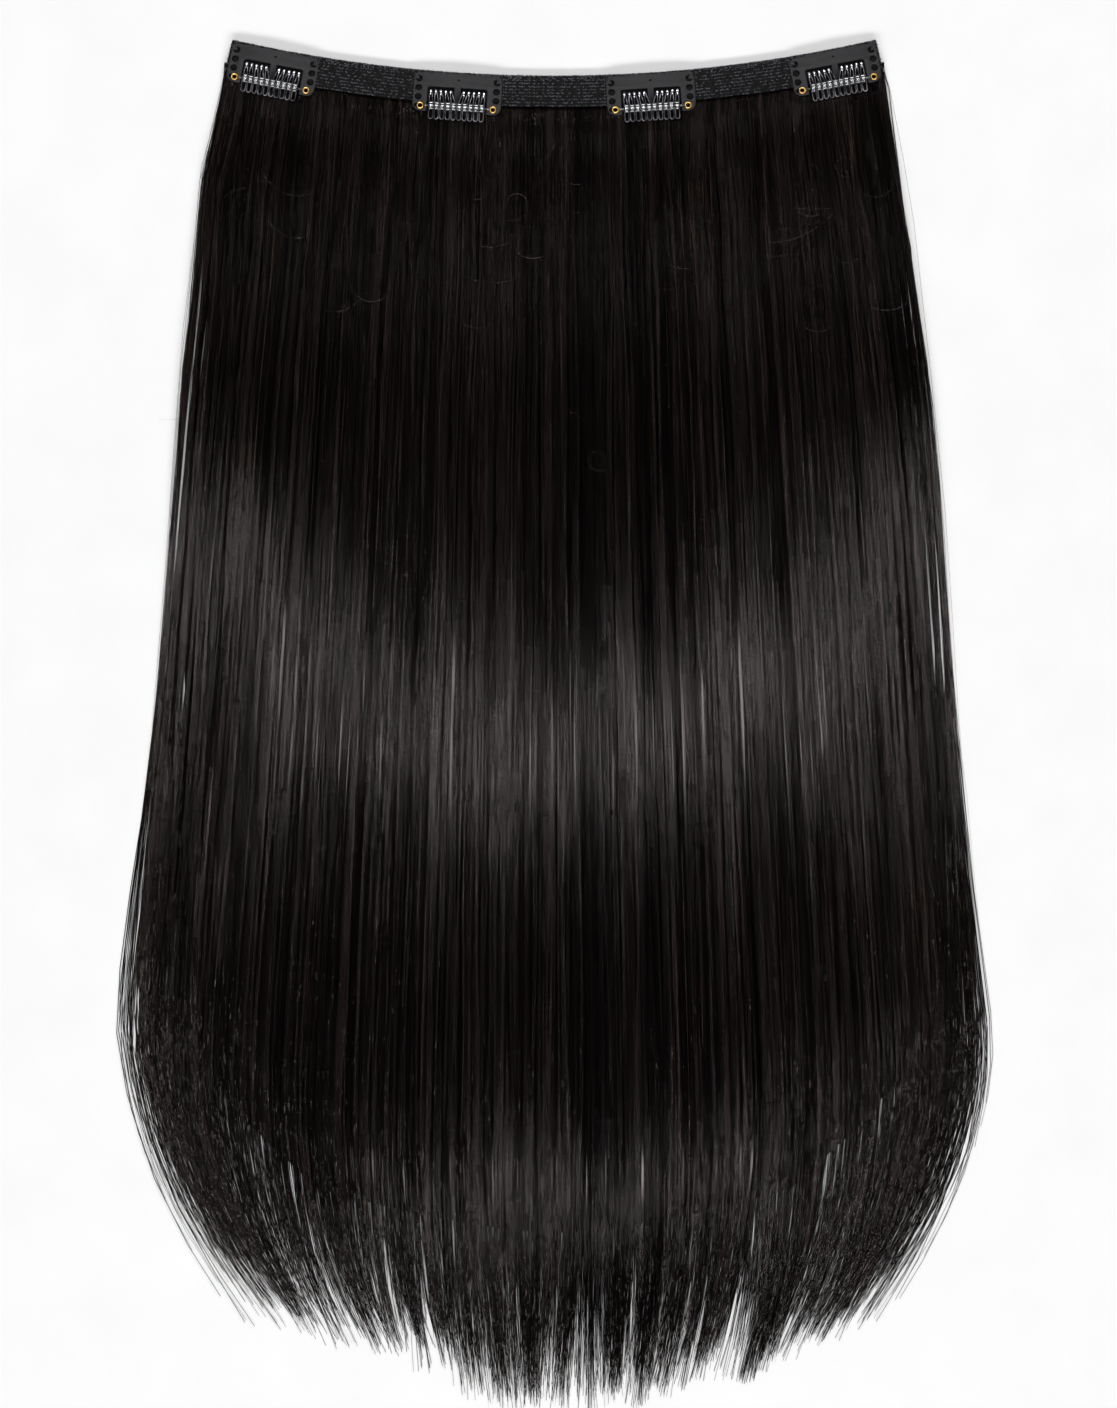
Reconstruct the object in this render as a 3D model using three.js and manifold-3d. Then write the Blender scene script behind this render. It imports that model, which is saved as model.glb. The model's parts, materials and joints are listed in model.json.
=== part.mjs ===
// A clip-in hair extension: a folded fabric band holds the roots of one wide fall of long straight hair,
// and four snap comb clips are sewn along the band. It lies on its back, clips up, with the hair towards -Y.
// Sizes are millimetres, +Z is up, and the origin is the middle of the underside.
import * as THREE from "three";
import { mergeVertices } from "three/addons/utils/BufferGeometryUtils.js";
import Module from "manifold-3d";

const wasm = await Module();
wasm.setup();

// Gaps between neighbours
const SEAT_GAP = 0.3; // between soft pieces, and between a clip frame and the band it is sewn to
const FINE_GAP = 0.15; // between the small pieces of one clip

// Band: a tape folded along its top edge round the hair roots, laid out as a shallow arc
const BAND_CHORD = 234.4; // straight distance between the two ends of the top edge
const BAND_SAG = 13.1; // how far the middle of the top edge hangs below its ends
const BAND_HEIGHT = 11;
const TAPE_THICKNESS = 0.9;
const FOLD_BULGE = 0.4; // how far the fold rounds out past the top edge
const FOLD_HEIGHT = 3.7; // the solid strip along the fold, above the pocket for the roots
const BAND_STEPS = 20;

// Hair
const HAIR_LENGTH = 474; // from the band's lower edge to the lowest tip, in the middle
const HAIR_TIP_CURVE = 44; // the line of the tips rises this much from the middle to the sides
const HAIR_TIP_CURVE_POWER = 1.5;
const HAIR_CORNER_CURVE = 25; // and this much more where it rounds the corners
const HAIR_CORNER_CURVE_POWER = 8;
const HAIR_FLARE = 40; // how far the outermost strands spread sideways on their way down
const HAIR_TURN_IN = 24; // how far the outermost tips swing back towards the middle
const HAIR_THICKNESS = 5.6; // crest of a lock at its fullest
const HAIR_ROOT_THICKNESS = 0.6; // the hair inside the band
const LOCK_COUNT = 15;
const LOCK_LENGTH_SPREAD = 13; // the longest lock tip against the shortest
const LOCK_TIP_SWAY = 5; // sideways wander of a lock's tip
const LOCK_VALLEY = 0.62; // height between two locks as a share of the crest
const LOCK_CREST_DROP = 0.12; // how much lower the lowest lock is, as a share of the crest
const LOCK_WAVES = { sway: 2.4, crest: 1.7, length: 4.1 }; // radians from one lock's variation to the next's
const OUTER_EDGE = 0.3; // height of the hair's outermost edges as a share of the crest

// Snap comb clip: frame
const FRAME_WIDTH = 32.4;
const FRAME_TOP = 12.2; // height of the frame's top edge above the line through the eyelets
const FRAME_FOOT = 1.9; // how far the arms reach below that line
const FRAME_THICKNESS = 0.6;
const FRAME_RISE = 0.55; // the frame bows up this much at its middle
const FRAME_TOP_RADIUS = 2;
const FRAME_FOOT_RADIUS = 2.8;
const FRAME_EDGE_MARGIN = 0.4; // the frame lies this far inside the band's top edge
const ARM_WIDTH = 5.35;
const TOP_BAR_HEIGHT = 5.1;
const WINDOW_RADIUS = 0.8;
const TONGUE_WIDTH = 2.3; // the strip that hangs from the top bar in the middle of the window
const TONGUE_END = 1.6;
const SEW_HOLE_RADIUS = 1;
const SEW_HOLE_INSET = 2; // from the frame's side edge to a sewing hole's centre
const SEW_HOLE_TOP_MARGIN = 1.35; // from the frame's top edge to the highest hole
const SEW_HOLE_LOW_MARGIN = 0.95; // from the eyelet's flange to the lowest hole
const SEW_HOLE_COUNT = 3;
const SEW_HOLE_SIDES = 8;

// Snap comb clip: eyelets
const EYELET_INSET = 2.95; // from the frame's side edge to the eyelet's centre
const EYELET_BORE = 0.62;
const EYELET_BARREL = 0.95;
const EYELET_FLANGE = 1.28;
const EYELET_FLANGE_THICKNESS = 0.3;
const EYELET_SIDES = 10;

// Snap comb clip: comb and silicone grip
const TEETH_PER_SIDE = 5; // on each side of the tongue
const TEETH_MARGIN = 0.6; // from the window's side to the outermost tooth's share of the comb
const TOOTH_WIDTH = 1.5; // between the two wires of a tooth
const TOOTH_WIRE = 0.4;
const TOOTH_LOOP_END = 4.9; // the loops reach this far below the eyelet line
const TIP_MARGIN = 1; // from the tips to the top of the window
const TIP_SIDE_MARGIN = 0.72; // from the outer tips to the window's side and the inner ones to the tongue
const TIP_WIDTH = 0.55; // between the two wires where they meet in the tip
const TIP_ROUND = 0.25;
const SPINE_RADIUS = 0.45;
const SPINE_SIDES = 6;
const GRIP_HEIGHT = 3.2;
const GRIP_THICKNESS = 0.85;
const GRIP_BASE = 0.25; // solid thickness below the ribs
const COMB_OPEN_ANGLE = THREE.MathUtils.degToRad(35); // how far the comb swings when it snaps open

// Clips on the band
const CLIP_MIDDLE_SPACING = 71; // along the chord, between the two middle clips
const CLIP_END_MARGIN = 0.9; // from the band's end to the end clip

// The band's top edge is an arc about a centre that lies above it.
const bandRadius = ((BAND_CHORD / 2) ** 2 + BAND_SAG ** 2) / (2 * BAND_SAG);
const bandHalfAngle = Math.asin(BAND_CHORD / 2 / bandRadius);
const bandThickness = 2 * TAPE_THICKNESS + HAIR_ROOT_THICKNESS + 2 * SEAT_GAP;
const hairRadius = bandRadius + BAND_HEIGHT;
const hairRootDepth = BAND_HEIGHT - FOLD_HEIGHT - SEAT_GAP;

// A clip is laid out from the line through its eyelets: u runs along that line, v up towards the band's top
// edge, and heights start at the underside of the frame's feet.
const hingeRadius = bandRadius + FRAME_EDGE_MARGIN + FRAME_TOP;
const clipHeight = bandThickness + SEAT_GAP;
const frameSide = FRAME_WIDTH / 2;
const windowSide = frameSide - ARM_WIDTH;
const windowTop = FRAME_TOP - TOP_BAR_HEIGHT;
const eyeletPlace = frameSide - EYELET_INSET;
const spineHeight = frameRise(windowSide) + FRAME_THICKNESS + FINE_GAP + SPINE_RADIUS;
const toothHeight = spineHeight + SPINE_RADIUS;
const toothCount = 2 * TEETH_PER_SIDE;
const toothPitch = (2 * (windowSide - TEETH_MARGIN)) / toothCount;
const tipEnd = windowTop - TIP_MARGIN;

// Side view of a tooth: place is a share of the way to the tip (positive) or to the loop's end (negative),
// and lift is a share of toothHeight.
const TOOTH_SIDE = [
  { place: 1, lift: 0.3 },
  { place: 0.6, lift: 0.8 },
  { place: 0.3, lift: 1 },
  { place: -0.35, lift: 1 },
  { place: -1, lift: 0.86 },
];

// How the hair runs from root to tip. down is a share of the strand's length, spread of HAIR_FLARE,
// turn of HAIR_TURN_IN, crest of HAIR_THICKNESS, and split is how far a lock has parted from its neighbours.
const FLOW = [
  { down: 0.022, spread: 0.03, turn: 0, crest: 0.34, split: 0 },
  { down: 0.07, spread: 0.1, turn: 0, crest: 0.68, split: 0 },
  { down: 0.18, spread: 0.24, turn: 0, crest: 0.94, split: 0 },
  { down: 0.43, spread: 0.52, turn: 0, crest: 1, split: 0 },
  { down: 0.7, spread: 0.825, turn: 0, crest: 0.92, split: 0 },
  { down: 0.8, spread: 0.925, turn: 0, crest: 0.84, split: 0 },
  { down: 0.88, spread: 0.97, turn: 0.16, crest: 0.7, split: 0.06 },
  { down: 0.93, spread: 0.985, turn: 0.36, crest: 0.52, split: 0.3 },
  { down: 0.97, spread: 0.995, turn: 0.64, crest: 0.34, split: 0.62 },
  { down: 1, spread: 1, turn: 1, crest: 0.14, split: 0.94 },
];

/** A point on an arc about the band's centre, at a radius and an angle from straight down. */
function onArc(radius, angle) {
  return new THREE.Vector2(radius * Math.sin(angle), -radius * Math.cos(angle));
}

/** Points of a circular arc, both ends included. */
function arcPoints(x, y, radius, from, to, steps) {
  return Array.from({ length: steps + 1 }, (_, i) => {
    const angle = from + ((to - from) * i) / steps;
    return new THREE.Vector2(x + radius * Math.cos(angle), y + radius * Math.sin(angle));
  });
}

/** A round hole for a shape. */
function roundHole(x, y, radius, sides) {
  return new THREE.Path(arcPoints(x, y, radius, 0, -2 * Math.PI, sides).slice(0, -1));
}

/** A closed mesh through rings of points. With an outline its two ends are capped, else it joins up. */
function loft(rings, capOutline) {
  const count = rings[0].length;
  const position = rings.flat().flatMap((point) => [point.x, point.y, point.z]);
  const index = [];
  const joins = capOutline ? rings.length - 1 : rings.length;
  for (let r = 0; r < joins; r++) {
    const here = r * count;
    const next = ((r + 1) % rings.length) * count;
    for (let i = 0; i < count; i++) {
      const j = (i + 1) % count;
      index.push(here + i, here + j, next + i, here + j, next + j, next + i);
    }
  }
  if (capOutline) {
    const last = (rings.length - 1) * count;
    for (const [a, b, c] of THREE.ShapeUtils.triangulateShape(capOutline, [])) {
      index.push(a, c, b, last + a, last + b, last + c);
    }
  }
  const geometry = new THREE.BufferGeometry();
  geometry.setAttribute("position", new THREE.Float32BufferAttribute(position, 3));
  geometry.setIndex(index);
  return geometry;
}

/** A closed geometry as a manifold solid. */
function toSolid(geometry) {
  const bare = geometry.clone();
  bare.deleteAttribute("normal");
  bare.deleteAttribute("uv");
  const merged = mergeVertices(bare, 1e-4);
  const vertProperties = new Float32Array(merged.attributes.position.array);
  const triVerts = new Uint32Array(merged.index.array);
  return new wasm.Manifold(new wasm.Mesh({ numProp: 3, vertProperties, triVerts }));
}

/** A manifold solid as a geometry. */
function toGeometry(solid) {
  const mesh = solid.getMesh();
  const geometry = new THREE.BufferGeometry();
  geometry.setAttribute("position", new THREE.BufferAttribute(mesh.vertProperties, 3));
  geometry.setIndex(new THREE.BufferAttribute(mesh.triVerts, 1));
  geometry.computeVertexNormals();
  return geometry;
}

/** Several manifold solids fused into one geometry. */
function fuse(solids) {
  return toGeometry(solids.reduce((whole, next) => whole.add(next)));
}

/** The tape folded round the roots: a C-shaped section swept along the arc, open at the lower edge. */
function bandGeometry() {
  const top = bandRadius;
  const low = hairRadius;
  const pocketTop = top + FOLD_HEIGHT;
  const upperTape = bandThickness - TAPE_THICKNESS;
  const section = [
    [low, 0],
    [low, TAPE_THICKNESS],
    [pocketTop, TAPE_THICKNESS],
    [pocketTop, upperTape],
    [low, upperTape],
    [low, bandThickness],
    [top, bandThickness],
    [top - FOLD_BULGE, bandThickness - TAPE_THICKNESS],
    [top - FOLD_BULGE, TAPE_THICKNESS],
    [top, 0],
  ].map(([radius, z]) => new THREE.Vector2(radius, z));
  const rings = Array.from({ length: BAND_STEPS + 1 }, (_, i) => {
    const angle = bandHalfAngle * (1 - (2 * i) / BAND_STEPS);
    return section.map(({ x: radius, y: z }) => {
      const place = onArc(radius, angle);
      return new THREE.Vector3(place.x, place.y, z);
    });
  });
  return loft(rings, section);
}

/** Where a strand is in plan: across runs from -1 to 1 over the band, flow is a row of FLOW. */
function strandPoint(across, flow) {
  const root = onArc(hairRadius, across * bandHalfAngle);
  const side = Math.abs(across);
  const tipLift =
    HAIR_TIP_CURVE * side ** HAIR_TIP_CURVE_POWER + HAIR_CORNER_CURVE * side ** HAIR_CORNER_CURVE_POWER;
  const tipY = -hairRadius - HAIR_LENGTH + tipLift;
  return new THREE.Vector2(
    root.x + across * (HAIR_FLARE * flow.spread - HAIR_TURN_IN * flow.turn),
    root.y + (tipY - root.y) * flow.down,
  );
}

/** The flat stretch of hair that the comb's loops swing down over: where it ends and how thick it is. */
function hairNeck() {
  const loopReach = TOOTH_LOOP_END + hingeRadius - hairRadius;
  const loopUnderside = toothLift(-TOOTH_LOOP_END) - TOOTH_WIRE / 2 - spineHeight;
  const swing = TOOTH_LOOP_END * Math.sin(COMB_OPEN_ANGLE) - loopUnderside * Math.cos(COMB_OPEN_ANGLE);
  return { end: loopReach + TOOTH_WIRE, thickness: clipHeight + spineHeight - swing - FINE_GAP };
}

/** One lock: rings of points with a flat underside and a domed top, from inside the band to the tip. */
function lockGeometry(lock) {
  const columns = [0, 0.25, 0.5, 0.75, 1];
  const sway = LOCK_TIP_SWAY * Math.sin(LOCK_WAVES.sway * lock + 0.8);
  const crestShare = 1 - LOCK_CREST_DROP * Math.abs(Math.sin(LOCK_WAVES.crest * lock));
  const shortfall = LOCK_LENGTH_SPREAD * (0.5 - 0.5 * Math.sin(LOCK_WAVES.length * lock + 1));

  const domeHeights = (flow) => {
    const crest = HAIR_THICKNESS * flow.crest;
    return columns.map((column) => {
      const outermost = (lock + column) % LOCK_COUNT === 0;
      if (outermost) return crest * OUTER_EDGE;
      const dome = Math.sin(Math.PI * column) ** 0.8;
      return crest * (LOCK_VALLEY + (crestShare - LOCK_VALLEY) * dome);
    });
  };

  const ring = (flow, underside, heights) => {
    const top = columns.map((column, i) => {
      const narrowed = 0.5 + (column - 0.5) * (1 - flow.split);
      const across = (2 * (lock + narrowed)) / LOCK_COUNT - 1;
      const point = strandPoint(across, flow);
      return new THREE.Vector3(point.x + sway * flow.split, point.y + shortfall * flow.split, heights[i]);
    });
    const bottom = [top[0], top.at(-1)].map((point) => new THREE.Vector3(point.x, point.y, underside));
    return [...bottom, ...top.reverse()];
  };

  const flatRing = (distance, underside, height) => {
    const flow = { down: distance / HAIR_LENGTH, spread: 0, turn: 0, split: 0 };
    return ring(flow, underside, columns.map(() => height));
  };

  const rootUnderside = TAPE_THICKNESS + SEAT_GAP;
  const rootTop = rootUnderside + HAIR_ROOT_THICKNESS;
  const neck = hairNeck();
  const neckShare = neck.end / HAIR_LENGTH;
  const rings = [
    flatRing(-hairRootDepth, rootUnderside, rootTop),
    flatRing(SEAT_GAP, rootUnderside, rootTop),
    flatRing(2 * SEAT_GAP, 0, neck.thickness),
    flatRing(neck.end, 0, neck.thickness),
    ...FLOW.map((flow) => {
      const belowNeck = { ...flow, down: neckShare + (1 - neckShare) * flow.down };
      return ring(belowNeck, 0, domeHeights(flow));
    }),
  ];
  const outline = [
    ...[0, 1].map((x) => new THREE.Vector2(x, 0)),
    ...[...columns].reverse().map((x) => new THREE.Vector2(x, 1 + Math.sin(Math.PI * x))),
  ];
  return loft(rings, outline);
}

/** The whole fall of hair: locks that share their side walls down to where the tips part. */
function hairGeometry() {
  const locks = Array.from({ length: LOCK_COUNT }, (_, lock) => toSolid(lockGeometry(lock)));
  return fuse(locks);
}

/** How high the bowed frame's underside is at a sideways place. */
function frameRise(u) {
  return FRAME_RISE * (1 - Math.abs(u) / (FRAME_WIDTH / 2));
}

/** The right half of the frame, flat, with its holes, then sheared up towards the middle crease. */
function frameHalf() {
  const quarter = Math.PI / 2;
  const footCorner = [frameSide - FRAME_FOOT_RADIUS, FRAME_FOOT_RADIUS - FRAME_FOOT, FRAME_FOOT_RADIUS];
  const topCorner = [frameSide - FRAME_TOP_RADIUS, FRAME_TOP - FRAME_TOP_RADIUS, FRAME_TOP_RADIUS];
  const windowCorner = [windowSide - WINDOW_RADIUS, windowTop - WINDOW_RADIUS, WINDOW_RADIUS];
  const shape = new THREE.Shape([
    new THREE.Vector2(0, FRAME_TOP),
    new THREE.Vector2(0, TONGUE_END),
    new THREE.Vector2(TONGUE_WIDTH / 2, TONGUE_END),
    new THREE.Vector2(TONGUE_WIDTH / 2, windowTop),
    ...arcPoints(...windowCorner, quarter, 0, 2),
    new THREE.Vector2(windowSide, -FRAME_FOOT),
    ...arcPoints(...footCorner, -quarter, 0, 3),
    ...arcPoints(...topCorner, 0, quarter, 3),
  ]);
  const lowHole = EYELET_FLANGE + SEW_HOLE_LOW_MARGIN + SEW_HOLE_RADIUS;
  const highHole = FRAME_TOP - SEW_HOLE_TOP_MARGIN - SEW_HOLE_RADIUS;
  for (let i = 0; i < SEW_HOLE_COUNT; i++) {
    const height = THREE.MathUtils.lerp(lowHole, highHole, i / (SEW_HOLE_COUNT - 1));
    shape.holes.push(roundHole(frameSide - SEW_HOLE_INSET, height, SEW_HOLE_RADIUS, SEW_HOLE_SIDES));
  }
  shape.holes.push(roundHole(eyeletPlace, 0, EYELET_BARREL + FINE_GAP, EYELET_SIDES));
  const plate = new THREE.ExtrudeGeometry(shape, { depth: FRAME_THICKNESS, bevelEnabled: false });
  const position = plate.attributes.position;
  for (let i = 0; i < position.count; i++) {
    position.setZ(i, position.getZ(i) + frameRise(position.getX(i)));
  }
  return plate;
}

/** The stamped frame: a top bar, two arms with sewing and eyelet holes, and the tongue in the window. */
function frameGeometry() {
  const half = toSolid(frameHalf());
  return fuse([half, half.mirror([1, 0, 0])]);
}

/** A rolled eyelet: a barrel through the arm with a flange above it. */
function eyeletGeometry() {
  const flangeLow = FRAME_THICKNESS + FINE_GAP;
  const flangeHigh = flangeLow + EYELET_FLANGE_THICKNESS;
  const profile = [
    [EYELET_BORE, 0],
    [EYELET_BARREL, 0],
    [EYELET_BARREL, flangeLow],
    [EYELET_FLANGE, flangeLow],
    [EYELET_FLANGE, flangeHigh],
    [EYELET_BORE, flangeHigh],
    [EYELET_BORE, 0],
  ].map(([radius, height]) => new THREE.Vector2(radius, height));
  return new THREE.LatheGeometry(profile, EYELET_SIDES).rotateX(Math.PI / 2);
}

/** How high a tooth's wire runs at a distance v above the eyelet line. */
function toothLift(v) {
  const place = v > 0 ? v / tipEnd : v / TOOTH_LOOP_END;
  const below = Math.max(1, TOOTH_SIDE.findIndex((row) => row.place <= place));
  const [high, low] = [TOOTH_SIDE[below - 1], TOOTH_SIDE[below]];
  return toothHeight * THREE.MathUtils.mapLinear(place, low.place, high.place, low.lift, high.lift);
}

/** One tooth: square wire bent into a round loop below the eyelet line and a narrow tip above it. */
function toothGeometry(tooth) {
  const side = tooth < TEETH_PER_SIDE ? -1 : 1;
  const fromTongue = side < 0 ? TEETH_PER_SIDE - 1 - tooth : tooth - TEETH_PER_SIDE;
  const half = TOOTH_WIRE / 2;
  const tipClear = TIP_SIDE_MARGIN + TIP_WIDTH / 2 + half;
  const firstTip = TONGUE_WIDTH / 2 + tipClear;
  const lastTip = windowSide - tipClear;
  const base = side * (fromTongue + 0.5) * toothPitch;
  const tip = side * THREE.MathUtils.lerp(firstTip, lastTip, fromTongue / (TEETH_PER_SIDE - 1));

  const bend = TOOTH_WIDTH / 2;
  const bendPlace = bend + half - TOOTH_LOOP_END;
  const straightEnd = tipEnd - half - TIP_ROUND;
  const bends = TOOTH_SIDE.filter((row) => row.place > 0 && row.place < 1).map((row) => row.place * tipEnd);
  const straight = (sign) =>
    [straightEnd, ...bends, bendPlace].map((v) => {
      const share = Math.max(0, v / straightEnd);
      const spacing = THREE.MathUtils.lerp(bend, TIP_WIDTH / 2, share);
      return new THREE.Vector2(THREE.MathUtils.lerp(base, tip, share) + sign * spacing, v);
    });
  const loop = arcPoints(base, bendPlace, bend, Math.PI, 2 * Math.PI, 4).slice(1, -1);
  const path = [...straight(-1), ...loop, ...straight(1).reverse(), new THREE.Vector2(tip, tipEnd - half)];

  const rings = path.map((point, i) => {
    const before = path[(i + path.length - 1) % path.length];
    const after = path[(i + 1) % path.length];
    const along = after.clone().sub(before).normalize();
    const lift = toothLift(point.y);
    const corner = (across, up) =>
      new THREE.Vector3(point.x + along.y * across, point.y - along.x * across, lift + up);
    return [corner(half, half), corner(half, -half), corner(-half, -half), corner(-half, half)];
  });
  return loft(rings);
}

/** The comb: a spine between the eyelets with its hairpin teeth, one solid. */
function combGeometry() {
  const length = 2 * (eyeletPlace - EYELET_FLANGE - FINE_GAP);
  const spine = new THREE.CylinderGeometry(SPINE_RADIUS, SPINE_RADIUS, length, SPINE_SIDES)
    .rotateY(Math.PI / SPINE_SIDES)
    .rotateZ(Math.PI / 2)
    .translate(0, 0, spineHeight);
  const teeth = Array.from({ length: toothCount }, (_, tooth) => toSolid(toothGeometry(tooth)));
  return fuse([toSolid(spine), ...teeth]);
}

/** The silicone grip: a strip over the teeth with a rounded rib on each tooth. */
function gripGeometry() {
  const side = (toothCount * toothPitch) / 2;
  const ribHeight = GRIP_THICKNESS - GRIP_BASE;
  const ribSteps = 4;
  const ribs = Array.from({ length: toothCount * ribSteps + 1 }, (_, i) => {
    const swell = Math.abs(Math.sin((Math.PI * i) / ribSteps));
    return new THREE.Vector2(side - (i * toothPitch) / ribSteps, GRIP_BASE + ribHeight * Math.sqrt(swell));
  });
  const shape = new THREE.Shape([new THREE.Vector2(-side, 0), new THREE.Vector2(side, 0), ...ribs]);
  return new THREE.ExtrudeGeometry(shape, { depth: GRIP_HEIGHT, bevelEnabled: false })
    .rotateX(Math.PI / 2)
    .translate(0, GRIP_HEIGHT / 2, toothHeight + TOOTH_WIRE / 2 + FINE_GAP);
}

const hairMaterial = new THREE.MeshStandardMaterial({ color: 0x14100f, roughness: 0.35, metalness: 0 });
const bandMaterial = new THREE.MeshStandardMaterial({ color: 0x17171a, roughness: 0.9, metalness: 0 });
const frameMaterial = new THREE.MeshStandardMaterial({ color: 0x1d1d20, roughness: 0.35, metalness: 0.6 });
const gripMaterial = new THREE.MeshStandardMaterial({ color: 0x3a3a3c, roughness: 0.12, metalness: 0 });
const eyeletMaterial = new THREE.MeshStandardMaterial({ color: 0xd9a441, roughness: 0.25, metalness: 1 });

/** A named mesh. */
function piece(name, geometry, material) {
  const mesh = new THREE.Mesh(geometry, material);
  mesh.name = name;
  return mesh;
}

/** One clip, laid out from the middle of its eyelet line. */
function buildClip(number) {
  const clip = new THREE.Group();
  const name = `clip_${number}`;
  clip.add(piece(`${name}_frame`, frameGeometry(), frameMaterial));
  clip.add(piece(`${name}_comb`, combGeometry(), frameMaterial));
  clip.add(piece(`${name}_grip`, gripGeometry(), gripMaterial));
  for (const [side, word] of [[-1, "left"], [1, "right"]]) {
    const eyelet = piece(`${name}_eyelet_${word}`, eyeletGeometry(), eyeletMaterial);
    eyelet.position.set(side * eyeletPlace, 0, frameRise(eyeletPlace));
    clip.add(eyelet);
  }
  return clip;
}

/** The angles of the clips along the band, from left to right. */
function clipAngles() {
  const middle = Math.asin(CLIP_MIDDLE_SPACING / 2 / hingeRadius);
  const end = bandHalfAngle - (frameSide + CLIP_END_MARGIN) / hingeRadius;
  return [-end, -middle, middle, end];
}

/** The whole extension, centred over its own underside. */
function buildExtension() {
  const extension = new THREE.Group();
  extension.name = "clip_in_hair_extension";
  extension.add(piece("band", bandGeometry(), bandMaterial));
  extension.add(piece("hair", hairGeometry(), hairMaterial));
  clipAngles().forEach((angle, i) => {
    const clip = buildClip(i + 1);
    const place = onArc(hingeRadius, angle);
    clip.position.set(place.x, place.y, clipHeight);
    clip.rotation.z = angle;
    extension.add(clip);
  });
  const middle = new THREE.Box3().setFromObject(extension).getCenter(new THREE.Vector3());
  extension.position.set(-middle.x, -middle.y, 0);
  return extension;
}

const extension = buildExtension();

export default extension;
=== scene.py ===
"""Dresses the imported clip-in hair extension and sets it in a small studio.

Sizes in the classes are in millimetres, as in the part's source. Each piece is modelled at that size,
and only its finished mesh is brought to metres and to its place.
"""
import json
import logging
import math
from dataclasses import dataclass, field
from enum import Enum
from typing import Any, Iterable, Sequence

import bpy
import numpy as np
from mathutils import Matrix, Vector


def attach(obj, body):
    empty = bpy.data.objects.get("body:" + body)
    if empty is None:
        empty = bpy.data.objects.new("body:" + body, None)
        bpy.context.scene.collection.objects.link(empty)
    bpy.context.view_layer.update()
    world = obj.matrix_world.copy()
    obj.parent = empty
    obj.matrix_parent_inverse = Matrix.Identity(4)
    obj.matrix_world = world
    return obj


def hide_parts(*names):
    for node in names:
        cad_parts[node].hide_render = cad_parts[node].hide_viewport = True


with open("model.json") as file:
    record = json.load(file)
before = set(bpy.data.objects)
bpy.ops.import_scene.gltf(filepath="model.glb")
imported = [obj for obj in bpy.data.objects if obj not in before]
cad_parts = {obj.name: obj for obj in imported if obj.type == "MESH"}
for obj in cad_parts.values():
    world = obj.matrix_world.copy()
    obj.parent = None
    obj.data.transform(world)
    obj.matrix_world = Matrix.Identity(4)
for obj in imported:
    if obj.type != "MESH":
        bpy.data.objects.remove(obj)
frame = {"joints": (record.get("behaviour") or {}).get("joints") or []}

LOG = logging.getLogger("extension")
MILLIMETRE = 0.001
WELD = 0.0005  # points closer than this are one


class Body(Enum):
    """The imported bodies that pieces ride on."""

    HAIRPIECE = "hairpiece"
    COMB = "comb_{}"


class Slot(Enum):
    """The record's material slots."""

    HAIR = "hair"
    BAND = "band"
    CLIP_METAL = "clip_metal"
    SILICONE = "silicone"
    EYELET = "eyelet"


# Small helpers for meshes


def deselect_all() -> None:
    """Leaves nothing selected."""
    bpy.ops.object.select_all(action="DESELECT")


def make_active(piece: bpy.types.Object) -> None:
    """Selects one piece alone and makes it the active one."""
    deselect_all()
    piece.select_set(True)
    bpy.context.view_layer.objects.active = piece


def whole_mesh_edit(piece: bpy.types.Object) -> None:
    """Opens a piece in edit mode with all of it selected."""
    make_active(piece)
    bpy.ops.object.mode_set(mode="EDIT")
    bpy.ops.mesh.select_all(action="SELECT")


def close_edit() -> None:
    """Goes back to object mode."""
    bpy.ops.object.mode_set(mode="OBJECT")


def points_of(mesh: bpy.types.Mesh) -> np.ndarray:
    """The places of a mesh's vertices, one row each."""
    points = np.empty(len(mesh.vertices) * 3, np.float32)
    mesh.vertices.foreach_get("co", points)
    return points.reshape(-1, 3)


def set_points(mesh: bpy.types.Mesh, points: np.ndarray) -> None:
    """Moves a mesh's vertices to new places."""
    mesh.vertices.foreach_set("co", np.ascontiguousarray(points, np.float32).ravel())
    mesh.update()


def faces_of(mesh: bpy.types.Mesh) -> np.ndarray:
    """The corners of a mesh of triangles, one row per face."""
    corners = np.empty(len(mesh.loops), np.int32)
    mesh.loops.foreach_get("vertex_index", corners)
    return corners.reshape(-1, 3)


def mesh_from_triangles(name: str, points: np.ndarray, faces: np.ndarray) -> bpy.types.Object:
    """Makes a smooth-shaded piece from arrays.

    Args:
        name: The piece's name.
        points: The vertices, one row each.
        faces: The corners of its triangles, one row each.

    Returns:
        The new piece, linked to the scene.
    """
    mesh = bpy.data.meshes.new(name)
    mesh.vertices.add(len(points))
    mesh.vertices.foreach_set("co", np.ascontiguousarray(points, np.float32).ravel())
    mesh.loops.add(faces.size)
    mesh.loops.foreach_set("vertex_index", np.ascontiguousarray(faces, np.int32).ravel())
    mesh.polygons.add(len(faces))
    mesh.polygons.foreach_set("loop_start", np.arange(0, faces.size, 3, dtype=np.int32))
    mesh.update(calc_edges=True)
    mesh.polygons.foreach_set("use_smooth", np.ones(len(faces), bool))
    piece = bpy.data.objects.new(name, mesh)
    bpy.context.scene.collection.objects.link(piece)
    return piece


def tone_attribute(mesh: bpy.types.Mesh, tones: np.ndarray) -> None:
    """Stores one tone from 0 to 1 per vertex, which the finishes read."""
    attribute = mesh.attributes.new("tone", "FLOAT", "POINT")
    attribute.data.foreach_set("value", np.ascontiguousarray(tones, np.float32))


def shade_by_angle(piece: bpy.types.Object, degrees: float) -> None:
    """Shades a piece smooth, but for edges sharper than an angle."""
    make_active(piece)
    bpy.ops.object.shade_smooth_by_angle(angle=math.radians(degrees))


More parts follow.
